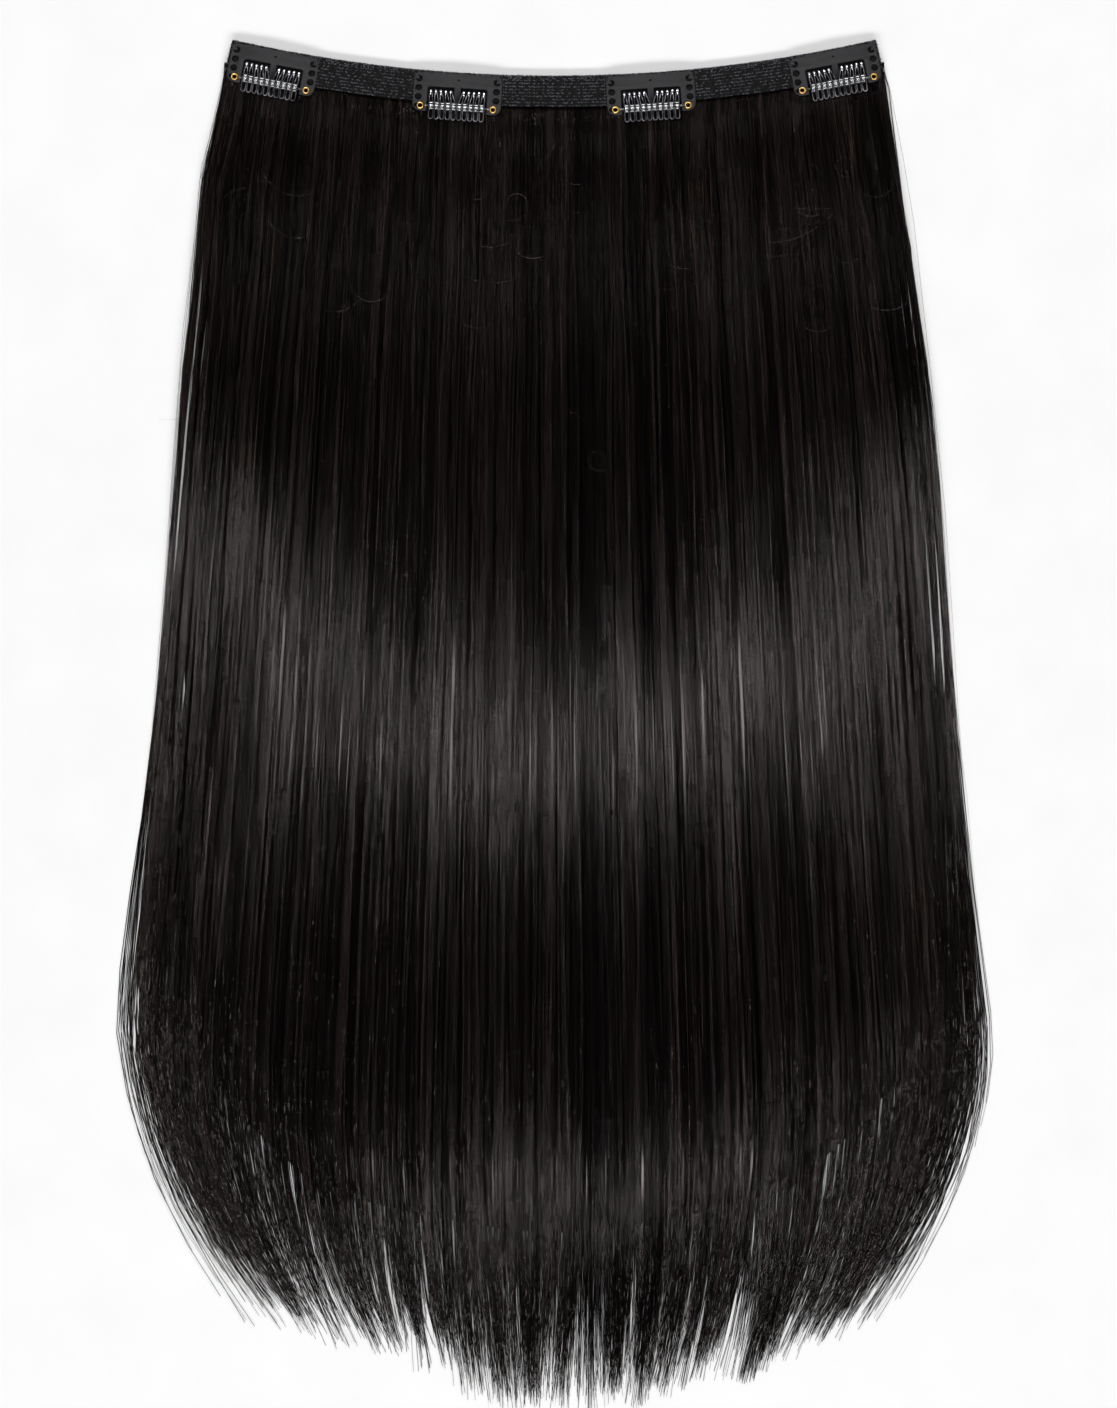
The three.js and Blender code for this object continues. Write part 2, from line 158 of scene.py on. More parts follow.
def circle_arc(x: float, y: float, radius: float, start: float, end: float, steps: int) -> list[tuple]:
    """Points on an arc.

    Args:
        x: The centre's place across.
        y: The centre's place upwards.
        radius: The arc's radius.
        start: The first point's angle in degrees.
        end: The last point's angle in degrees.
        steps: How many steps lie between them.

    Returns:
        The points, with both ends.
    """
    angles = np.radians(np.linspace(start, end, steps + 1))
    return [(x + radius * math.cos(a), y + radius * math.sin(a)) for a in angles]


def draw_paths(curve: bpy.types.Curve, paths: Iterable[Sequence], cyclic: bool) -> None:
    """Adds a spline to a curve for each path.

    Args:
        curve: The curve.
        paths: Each spline's points, flat or with a height.
        cyclic: Whether each spline closes on itself.
    """
    for path in paths:
        spline = curve.splines.new("POLY")
        spline.points.add(len(path) - 1)
        for point, (x, y, *height) in zip(spline.points, path):
            point.co = (x, y, *(height or [0.0]), 1.0)
        spline.use_cyclic_u = cyclic


def mesh_of_curve(curve: bpy.types.Curve) -> bpy.types.Object:
    """Turns a curve to a piece with a mesh, of the curve's name."""
    piece = bpy.data.objects.new(curve.name, curve)
    bpy.context.scene.collection.objects.link(piece)
    make_active(piece)
    bpy.ops.object.convert(target="MESH")
    return piece


def wire_mesh(
    name: str, paths: Iterable[Sequence], radius: float, cyclic: bool, sides: int
) -> bpy.types.Object:
    """Bends wires along paths and joins them to one mesh.

    Args:
        name: The piece's name.
        paths: Each wire's points.
        radius: The wire's radius.
        cyclic: Whether each wire closes on itself.
        sides: How round the wire is, as the curve's bevel resolution.

    Returns:
        The new piece.
    """
    curve = bpy.data.curves.new(name, "CURVE")
    curve.dimensions = "3D"
    curve.bevel_depth = radius
    curve.bevel_resolution = sides
    curve.use_fill_caps = not cyclic
    draw_paths(curve, paths, cyclic)
    piece = mesh_of_curve(curve)
    whole_mesh_edit(piece)
    bpy.ops.mesh.remove_doubles(threshold=WELD)
    bpy.ops.mesh.normals_make_consistent(inside=False)
    close_edit()
    return piece


def thin_slab(across: int, along: int, triangles: bool) -> bpy.types.Object:
    """Makes a closed slab from -1 to 1 both ways, with its upper face at 0 and its lower face at -1.

    Args:
        across: How many steps its faces have across.
        along: How many steps they have along.
        triangles: Whether its faces are cut to triangles.

    Returns:
        The new piece.
    """
    deselect_all()
    bpy.ops.mesh.primitive_grid_add(x_subdivisions=across, y_subdivisions=along, size=2.0)
    piece = bpy.context.object
    whole_mesh_edit(piece)
    bpy.ops.mesh.extrude_region_move(TRANSFORM_OT_translate={"value": (0, 0, -1)})
    bpy.ops.mesh.select_all(action="SELECT")
    if triangles:
        bpy.ops.mesh.quads_convert_to_tris()
    bpy.ops.mesh.normals_make_consistent(inside=False)
    close_edit()
    return piece


def select_one_side(mesh: bpy.types.Mesh, middle: float, side: int) -> None:
    """Keeps only those selected edges that lie on one side.

    Args:
        mesh: The mesh, out of edit mode.
        middle: The x that parts the two sides.
        side: -1 for the left or 1 for the right.
    """
    kept = [e for e in mesh.edges if e.select and (mesh.vertices[e.vertices[0]].co.x - middle) * side > 0]
    for items in (mesh.vertices, mesh.edges, mesh.polygons):
        items.foreach_set("select", np.zeros(len(items), bool))
    for edge in kept:
        edge.select = True
        for number in edge.vertices:
            mesh.vertices[number].select = True


def spun_section(
    name: str, section: Sequence[tuple], centre: tuple, angle: float, steps: int
) -> bpy.types.Object:
    """Spins a closed section round an upright axis.

    Args:
        name: The piece's name.
        section: The section's points in the plane where the spin starts.
        centre: A point on the axis.
        angle: How far it turns, in radians.
        steps: How many steps the turn has.

    Returns:
        The new piece, closed, with its faces outwards.
    """
    deselect_all()
    bpy.ops.mesh.primitive_circle_add(vertices=len(section), radius=1.0)
    piece = bpy.context.object
    piece.name = name
    set_points(piece.data, np.array(section))
    whole_mesh_edit(piece)
    full = math.isclose(abs(angle), 2 * math.pi)
    bpy.ops.mesh.spin(steps=steps, angle=angle, center=centre, axis=(0, 0, 1))
    bpy.ops.mesh.select_all(action="SELECT")
    bpy.ops.mesh.remove_doubles(threshold=WELD)
    for end in () if full else (-1, 1):
        bpy.ops.mesh.select_mode(type="EDGE")
        bpy.ops.mesh.select_all(action="DESELECT")
        bpy.ops.mesh.select_non_manifold()
        close_edit()
        select_one_side(piece.data, centre[0], end)
        bpy.ops.object.mode_set(mode="EDIT")
        bpy.ops.mesh.fill(use_beauty=True)
    bpy.ops.mesh.select_all(action="SELECT")
    bpy.ops.mesh.normals_make_consistent(inside=False)
    close_edit()
    return piece


def joined(name: str, pieces: Sequence[bpy.types.Object]) -> bpy.types.Object:
    """Joins pieces to one."""
    make_active(pieces[0])
    for piece in pieces[1:]:
        piece.select_set(True)
    bpy.ops.object.join()
    pieces[0].name = name
    return pieces[0]


def placed_copy(master: bpy.types.Object, name: str, place: Matrix) -> bpy.types.Object:
    """Copies a master modelled in millimetres, with its own mesh, to its place in metres."""
    mesh = master.data.copy()
    mesh.transform(place @ Matrix.Scale(MILLIMETRE, 4))
    mesh.update()
    piece = bpy.data.objects.new(name, mesh)
    bpy.context.scene.collection.objects.link(piece)
    return piece


def discard(master: bpy.types.Object) -> None:
    """Removes a master once its copies are placed."""
    bpy.data.objects.remove(master, do_unlink=True)


# Finishes


def linear(colour: str) -> tuple[float, float, float, float]:
    """Turns an sRGB hex colour to linear values."""
    channels = [int(colour[i : i + 2], 16) / 255 for i in (1, 3, 5)]
    straight = [c / 12.92 if c <= 0.04045 else ((c + 0.055) / 1.055) ** 2.4 for c in channels]
    return (*straight, 1.0)


def add_node(
    tree: bpy.types.NodeTree,
    kind: str,
    settings: dict[str, Any] | None = None,
    inputs: dict[str | int, Any] | None = None,
) -> bpy.types.Node:
    """Adds a node with its settings and its inputs.

    Args:
        tree: The node tree.
        kind: The node's type.
        settings: The node's own settings by name.
        inputs: For each input, by name or number, a value or the output that feeds it.

    Returns:
        The new node.
    """
    node = tree.nodes.new(kind)
    for name, value in (settings or {}).items():
        setattr(node, name, value)
    for name, value in (inputs or {}).items():
        if isinstance(value, bpy.types.NodeSocket):
            tree.links.new(value, node.inputs[name])
        else:
            node.inputs[name].default_value = value
    return node


def set_ramp(node: bpy.types.Node, stops: Sequence[tuple[float, str]]) -> None:
    """Gives a colour ramp its stops, each a place and a hex colour."""
    elements = node.color_ramp.elements
    while len(elements) < len(stops):
        elements.new(1.0)
    for element, (place, colour) in zip(elements, stops):
        element.position = place
        element.color = linear(colour)


def grain(tree: bpy.types.NodeTree, size: tuple[float, float, float], detail: float = 2.0) -> bpy.types.Node:
    """Adds noise whose grains have a real size.

    Args:
        tree: The node tree.
        size: A grain's size along x, y and z in millimetres.
        detail: How many finer layers it has.

    Returns:
        The noise node.
    """
    place = add_node(tree, "ShaderNodeTexCoord")
    scale = tuple(1 / (length * MILLIMETRE) for length in size)
    mapping = add_node(tree, "ShaderNodeMapping", inputs={"Vector": place.outputs["Object"], "Scale": scale})
    return add_node(
        tree,
        "ShaderNodeTexNoise",
        inputs={"Vector": mapping.outputs["Vector"], "Scale": 1.0, "Detail": detail},
    )


def between(
    tree: bpy.types.NodeTree, factor: bpy.types.NodeSocket, low: float, high: float
) -> bpy.types.NodeSocket:
    """Maps a value from 0..1 to a range."""
    node = add_node(tree, "ShaderNodeMapRange", inputs={"Value": factor, "To Min": low, "To Max": high})
    return node.outputs["Result"]


def blank_finish(name: str) -> tuple[bpy.types.Material, bpy.types.NodeTree, bpy.types.Node]:
    """Makes a material with one Principled shader.

    Args:
        name: The material's name.

    Returns:
        The material, its tree and its shader.
    """
    material = bpy.data.materials.new(name)
    material.use_nodes = True
    tree = material.node_tree
    tree.nodes.clear()
    shader = add_node(tree, "ShaderNodeBsdfPrincipled")
    add_node(tree, "ShaderNodeOutputMaterial", inputs={"Surface": shader.outputs["BSDF"]})
    return material, tree, shader


@dataclass(frozen=True)
class HairFinish:
    """Dyed human hair, near black: each hair has its own tone, from blue-black to a warm brown."""

    darkest: str = "#040303"
    usual: str = "#0c0908"
    warm: str = "#181210"
    lightest: str = "#2f2521"
    smooth: float = 0.07
    rough: float = 0.155
    dull: float = 0.0
    glossy: float = 0.86
    sheen: str = "#fdf2f1"
    ior: float = 1.55  # keratin
    stretch: tuple[float, float, float] = (1.2, 38.0, 3.0)  # the dye takes unevenly over such stretches
    uneven: float = 0.45

    def build(self) -> bpy.types.Material:
        """Makes the material."""
        material, tree, shader = blank_finish("dyed_hair")
        tone = add_node(tree, "ShaderNodeAttribute", {"attribute_name": "tone"})
        streak = grain(tree, self.stretch)
        mixed = add_node(
            tree,
            "ShaderNodeMath",
            {"operation": "MULTIPLY_ADD"},
            {0: streak.outputs["Fac"], 1: self.uneven, 2: tone.outputs["Fac"]},
        )
        shade = add_node(
            tree,
            "ShaderNodeMath",
            {"operation": "SUBTRACT", "use_clamp": True},
            {0: mixed.outputs[0], 1: 0.22},  # the mean of what the stretches add
        )
        ramp = add_node(tree, "ShaderNodeValToRGB", inputs={"Fac": shade.outputs[0]})
        set_ramp(ramp, [(0.0, self.darkest), (0.66, self.usual), (0.93, self.warm), (1.0, self.lightest)])
        tree.links.new(ramp.outputs["Color"], shader.inputs["Base Color"])
        roughness = between(tree, tone.outputs["Fac"], self.smooth, self.rough)
        tree.links.new(roughness, shader.inputs["Roughness"])
        gloss = between(tree, shade.outputs[0], self.dull, self.glossy)
        shader.inputs["Specular IOR Level"].default_value = (self.dull + self.glossy) / 2
        tree.links.new(gloss, shader.inputs["Specular IOR Level"])
        shader.inputs["Specular Tint"].default_value = linear(self.sheen)
        shader.inputs["IOR"].default_value = self.ior
        return material


@dataclass(frozen=True)
class KnitFinish:
    """Knitted polyester tape: matt black yarn, with a pale grey painted on the stitches' crowns as sheen, and
    a deeper black painted as shade on the bare tape between and under them.
    """

    # deep is painted shade, taken by the bare tape between the stitches and under the plates; crown is a pale
    # grey painted on the stitch legs as sheen.
    deep: str = "#030304"
    yarn: str = "#0c0c0d"
    crown: str = "#66666d"
    stitch: float = 1.7  # a stitch's width

    def build(self) -> bpy.types.Material:
        """Makes the material."""
        material, tree, shader = blank_finish("knitted_polyester")
        speckle = grain(tree, (self.stitch * 0.6, self.stitch * 0.4, self.stitch * 0.5), 3.0)
        tone = add_node(tree, "ShaderNodeAttribute", {"attribute_name": "tone"})
        # Each leg's tone and the speckle set how far its colour goes towards the painted sheen; the bare tape
        # has no tone, so it stays near the painted shade.
        wear_and_sheen = add_node(
            tree,
            "ShaderNodeMath",
            {"operation": "MULTIPLY_ADD"},
            {0: tone.outputs["Fac"], 1: 0.6, 2: speckle.outputs["Fac"]},
        )
        ramp = add_node(tree, "ShaderNodeValToRGB", inputs={"Fac": wear_and_sheen.outputs[0]})
        set_ramp(ramp, [(0.56, self.deep), (0.76, self.yarn), (1.0, self.crown)])
        shader.inputs["Specular IOR Level"].default_value = 0.2
        tree.links.new(ramp.outputs["Color"], shader.inputs["Base Color"])
        tree.links.new(between(tree, speckle.outputs["Fac"], 0.85, 0.55), shader.inputs["Roughness"])
        # Single filaments, drawn at 0.2 mm so that they show.
        fibre = grain(tree, (0.35, 0.2, 0.2))
        bump = add_node(
            tree,
            "ShaderNodeBump",
            inputs={"Strength": 0.6, "Distance": 0.00012, "Height": fibre.outputs["Fac"]},
        )
        tree.links.new(bump.outputs["Normal"], shader.inputs["Normal"])
        return material


@dataclass(frozen=True)
class EnamelFinish:
    """Baked black enamel on stamped steel: satin, with a fine orange peel and worn, paler patches."""

    coat: str = "#18181a"
    wear_and_sheen: str = "#1f1f22"
    smooth: float = 0.35
    rough: float = 0.4
    rubbed: float = 0.3  # how much rougher the tongue is

    def build(self) -> bpy.types.Material:
        """Makes the material."""
        material, tree, shader = blank_finish("baked_enamel")
        patch = grain(tree, (4.0, 4.0, 4.0), 4.0)
        ramp = add_node(tree, "ShaderNodeValToRGB", inputs={"Fac": patch.outputs["Fac"]})
        set_ramp(ramp, [(0.35, self.coat), (0.75, self.wear_and_sheen)])
        tree.links.new(ramp.outputs["Color"], shader.inputs["Base Color"])
        # The tongue, which each snap rubs, is duller than the rest.
        tone = add_node(tree, "ShaderNodeAttribute", {"attribute_name": "tone"})
        satin = between(tree, patch.outputs["Fac"], self.smooth, self.rough)
        roughness = add_node(
            tree,
            "ShaderNodeMath",
            {"operation": "MULTIPLY_ADD"},
            {0: tone.outputs["Fac"], 1: self.rubbed, 2: satin},
        )
        tree.links.new(roughness.outputs[0], shader.inputs["Roughness"])
        shader.inputs["Specular IOR Level"].default_value = 0.21
        peel = grain(tree, (0.35, 0.35, 0.35))
        bump = add_node(
            tree,
            "ShaderNodeBump",
            inputs={"Strength": 0.15, "Distance": 0.00003, "Height": peel.outputs["Fac"]},
        )
        tree.links.new(bump.outputs["Normal"], shader.inputs["Normal"])
        return material


@dataclass(frozen=True)
class GrainedFinish:
    """A finish whose colour and roughness both follow one grain."""

    name: str
    size: tuple[float, float, float]
    detail: float
    stops: tuple[tuple[float, str], ...]
    roughness: tuple[float, float]  # at the grain's low and high values
    metallic: float = 0.0

    def build(self) -> bpy.types.Material:
        """Makes the material."""
        material, tree, shader = blank_finish(self.name)
        noise = grain(tree, self.size, self.detail)
        ramp = add_node(tree, "ShaderNodeValToRGB", inputs={"Fac": noise.outputs["Fac"]})
        set_ramp(ramp, self.stops)
        tree.links.new(ramp.outputs["Color"], shader.inputs["Base Color"])
        tree.links.new(between(tree, noise.outputs["Fac"], *self.roughness), shader.inputs["Roughness"])
        shader.inputs["Metallic"].default_value = self.metallic
        return material


# Spring steel wire, blackened, with bright drawing lines where the black has rubbed off.
SPRING_WIRE = GrainedFinish(
    "blackened_spring_wire", (1.2, 2.4, 1.2), 2.0, ((0.4, "#3a3a3e"), (0.7, "#7c7c82")), (0.42, 0.3), 1.0
)
# Polished steel at the teeth's flattened ends: bright, with faint handling marks.
POLISHED_STEEL = GrainedFinish(
    "polished_steel", (0.4, 0.4, 0.4), 2.0, ((0.3, "#8f8f95"), (0.6, "#c9c9ce")), (0.3, 0.16), 1.0
)
# Rolled brass: warm and bright, a little darker where it has tarnished.
ROLLED_BRASS = GrainedFinish(
    "rolled_brass", (0.8, 0.8, 0.8), 4.0, ((0.3, "#b07c34"), (0.55, "#f0c273")), (0.42, 0.24), 1.0
)
# Twisted polyester thread: black, with a paler grey painted on each ply as sheen, where it is also glossier,
# drawn coarse so that the plies show.
SEWING_THREAD = GrainedFinish(
    "polyester_thread", (0.3, 0.15, 0.3), 2.0, ((0.35, "#121214"), (0.65, "#3a3a3e")), (0.55, 0.32)
)


@dataclass(frozen=True)
class SiliconeFinish:
    """Moulded clear silicone, a little smoky: soft, glossy and slightly uneven."""

    clear: str = "#4a4a4f"
    smoky: str = "#28282b"

    def build(self) -> bpy.types.Material:
        """Makes the material."""
        material, tree, shader = blank_finish("clear_silicone")
        cloud = grain(tree, (1.5, 1.0, 1.0))
        ramp = add_node(tree, "ShaderNodeValToRGB", inputs={"Fac": cloud.outputs["Fac"]})
        set_ramp(ramp, [(0.3, self.smoky), (0.7, self.clear)])
        tree.links.new(ramp.outputs["Color"], shader.inputs["Base Color"])
        tree.links.new(between(tree, cloud.outputs["Fac"], 0.07, 0.13), shader.inputs["Roughness"])
        shader.inputs["IOR"].default_value = 1.41
        shader.inputs["Specular IOR Level"].default_value = 1.0
        shader.inputs["Transmission Weight"].default_value = 0.4
        shader.inputs["Coat Weight"].default_value = 1.0
        shader.inputs["Coat IOR"].default_value = 2.0
        shader.inputs["Coat Roughness"].default_value = 0.1
        ripple = grain(tree, (0.9, 1.6, 0.9), 0.0)
        bump = add_node(
            tree,
            "ShaderNodeBump",
            inputs={"Strength": 0.06, "Distance": 0.0001, "Height": ripple.outputs["Fac"]},
        )
        tree.links.new(bump.outputs["Normal"], shader.inputs["Normal"])
        return material


# The object


@dataclass(frozen=True)
class TapeArc:
    """The shallow arc that the tape, the roots and the clips follow."""

    chord: float = 234.4
    sag: float = 13.1
    height: float = 11.0
    centre_y: float = 764.595

    @property
    def top_radius(self) -> float:
        """The radius of the tape's top edge."""
        return ((self.chord / 2) ** 2 + self.sag**2) / (2 * self.sag)

    @property
    def low_radius(self) -> float:
        """The radius of the tape's lower edge, where the hair comes out."""
        return self.top_radius + self.height

    @property
    def half_angle(self) -> float:
        """The angle from the middle to an end."""
        return math.asin(self.chord / 2 / self.top_radius)

    def at(self, down: np.ndarray, angle: np.ndarray) -> tuple[np.ndarray, np.ndarray]:
        """A place on the tape.

        Args:
            down: How far it is below the top edge.
            angle: Its angle from the middle, positive to the right.

        Returns:
            Its x and its y.
        """
        radius = self.top_radius + down
        return radius * np.sin(angle), self.centre_y - radius * np.cos(angle)


@dataclass
class FoldedTape:
    """The knitted tape, folded over the hair's roots, with its stitches in relief."""

    arc: TapeArc = field(default_factory=TapeArc)
    thickness: float = 3.0
    cloth: float = 0.95
    fold_reach: float = 1.2
    fold_bulge: float = 0.4
    steps: int = 110
    stitch_pitch: float = 1.7
    row_pitch: float = 1.15
    leg_size: tuple[float, float, float] = (0.64, 0.22, 0.34)
    leg_slant: float = 27.0
    pressed: float = 15.4  # to either side of a clip's middle
    fold_length: float = 5.0  # the cloth that the fold itself takes
    whip_stitches: int = 6
    whip_radius: float = 0.14
    seed: int = 11

    def section(self) -> list[tuple[float, float]]:
        """The folded section as (down from the top edge, up) points, in order round it."""
        low, high = 0.0, self.thickness
        middle = high / 2
        lip = 0.22
        edge = self.arc.height
        fold_out = [
            (
                self.fold_reach - (self.fold_reach + self.fold_bulge) * math.cos(a),
                middle + middle * math.sin(a),
            )
            for a in np.radians(np.linspace(90, -90, 11))
        ]
        inner = middle - self.cloth
        fold_in = [
            (self.fold_reach + 0.5 - 0.5 * math.cos(a), middle + inner * math.sin(a))
            for a in np.radians(np.linspace(-90, 90, 7))
        ]
        front = [(edge, high - self.cloth + lip), (edge, high - lip), (edge - lip, high), (edge * 0.55, high)]
        back = [(edge * 0.55, low), (edge - lip, low), (edge, low + lip), (edge, self.cloth - lip)]
        back.append((edge - lip, self.cloth))
        return front + fold_out + back + fold_in + [(edge - lip, high - self.cloth)]

    def tape(self) -> bpy.types.Object:
        """Sweeps the folded section along the arc."""
        half = self.arc.half_angle
        section = []
        for down, up in self.section():
            x, y = self.arc.at(down, -half)
            section.append((x, y, up))
        # The spin operator counts its angle clockwise, so the way from left to right is negative.
        piece = spun_section("tape", section, (0, self.arc.centre_y, 0), -2 * half, self.steps)
        points = points_of(piece.data)
        # Cloth is never quite straight: its lower edge wavers a little.
        inward = self.arc.centre_y - points[:, 1]
        angle = np.arctan2(points[:, 0], inward)
        waver = 0.09 * np.sin(angle * 95) + 0.06 * np.sin(angle * 231 + 1)
        down = (np.hypot(points[:, 0], inward) - self.arc.top_radius) / self.arc.height
        points[:, 1] -= waver * np.clip(down, 0, 1)
        set_points(piece.data, points)
        shade_by_angle(piece, 50)
        return piece

    def relief_places(self, rng: np.random.Generator, clips: Sequence[float]) -> tuple[np.ndarray, ...]:
        """Where the stitches' legs lie.

        Args:
            rng: The source of their small differences.
            clips: The clips' angles along the arc, where the plates press the cloth flat.

        Returns:
            For each leg, its place down the tape, its height, its lean over the fold, its angle along the
            arc, its slant and its size.
        """
        edge = self.arc.height - 0.35
        flat_rows = np.arange(edge, self.fold_reach, -self.row_pitch)
        fold_angles = np.radians(np.linspace(75, 0, 4))
        rows = [(down, self.thickness, 0.0) for down in flat_rows]
        middle = self.thickness / 2
        for a in fold_angles:
            down = self.fold_reach - (self.fold_reach + self.fold_bulge) * math.cos(a)
            rows.append((down, middle + middle * math.sin(a), math.pi / 2 - a))
        length = 2 * self.arc.half_angle * self.arc.top_radius
        count = int(length / self.stitch_pitch)
        along = (np.arange(count) + 0.5) / count * 2 - 1
        places = []
        for number, (down, height, lean) in enumerate(rows):
            shift = 0.5 * (number % 2)
            for leg in (-1, 1):
                angle = (along + (shift + 0.25 * leg) * 2 / count) * self.arc.half_angle
                keep = np.abs(angle) < self.arc.half_angle * 0.997
                for clip in clips if lean == 0.0 else ():
                    keep &= np.abs(angle - clip) * self.arc.low_radius > self.pressed
                angle = angle[keep]
                full = np.ones_like(angle)
                slant = np.radians(leg * self.leg_slant) * full + rng.normal(0, 0.16, len(angle))
                size = rng.uniform(0.75, 1.12, len(angle))
                places.append(
                    (
                        down * full + rng.normal(0, 0.05, len(angle)),
                        height * full - rng.uniform(0, 0.07, len(angle)),
                        lean * full,
                        angle + rng.normal(0, 0.00012, len(angle)),
                        slant,
                        size,
                    )
                )
        return tuple(np.concatenate(column) for column in zip(*places))

    def relief(self, clips: Sequence[float]) -> bpy.types.Object:
        """Copies one leg of a stitch all over the tape's front and its fold.

        Args:
            clips: The clips' angles along the arc.

        Returns:
            The legs, as one mesh.
        """
        deselect_all()
        # A four-sided spindle: a cone whose fanned base is drawn out to a second point.
        bpy.ops.mesh.primitive_cone_add(
            vertices=4, radius1=1.0, radius2=0.0, depth=2.0, end_fill_type="TRIFAN"
        )
        leg = bpy.context.object
        corner, faces = points_of(leg.data), faces_of(leg.data)
        ring = np.hypot(corner[:, 0], corner[:, 1]) > 0.5
        corner[ring, 2] = 0
        discard(leg)
        rng = np.random.default_rng(self.seed)
        down, height, lean, angle, slant, size = self.relief_places(rng, clips)
        x, y = self.arc.at(down, angle)
        zero = np.zeros_like(x)
        along = np.stack([np.cos(angle), np.sin(angle), zero], 1)
        upward = np.stack([-np.sin(angle), np.cos(angle), zero], 1)
        out = upward * np.sin(lean)[:, None] + np.stack([zero, zero, np.cos(lean)], 1)
        across = np.cross(out, along)
        turned = along * np.cos(slant)[:, None] + across * np.sin(slant)[:, None]
        side = np.cross(out, turned)
        lengths = np.array(self.leg_size)[None, :] * size[:, None]
        centre = np.stack([x, y, height], 1)
        points = centre[:, None, :] + (
            corner[None, :, 0, None] * (turned * lengths[:, :1])[:, None, :]
            + corner[None, :, 1, None] * (side * lengths[:, 1:2])[:, None, :]
            + corner[None, :, 2, None] * (out * lengths[:, 2:])[:, None, :]
        )
        start = np.arange(len(x))[:, None, None] * len(corner)
        piece = mesh_from_triangles("relief", points.reshape(-1, 3), (faces[None] + start).reshape(-1, 3))
        # Each leg's tone sets how much of the pale grey painted sheen its colour takes.
        tone_attribute(piece.data, np.repeat(0.25 + 0.75 * rng.beta(0.8, 0.9, len(x)), len(corner)))
        return piece

    def end_stitches(self) -> bpy.types.Object:
        """Whip stitches round both cut ends, which keep the folded cloth closed."""
        proud = 0.16
        inset = 1.5 / self.arc.low_radius
        top, low = self.thickness + proud, -0.02
        # The way out of the cut end, in insets, and the height.
        profile = [(-1, low + 0.2), (0.12, low + 0.35), (0.2, self.thickness / 2), (0.12, top - 0.1)]
        profile += [(-0.35, top + 0.06), (-1, top)]
        paths = []
        for end in (-1, 1):
            for number in range(self.whip_stitches):
                down = 1.2 + (self.arc.height - 2.2) * number / (self.whip_stitches - 1)
                path = []
                for place, up in profile:
                    angle = end * (self.arc.half_angle + inset * place)
                    x, y = self.arc.at(down + 0.5 * (up / self.thickness - 0.5), angle)
                    path.append((x, y, max(up, 0.2)))
                paths.append(path)
        return wire_mesh("whip", paths, self.whip_radius, False, 1)


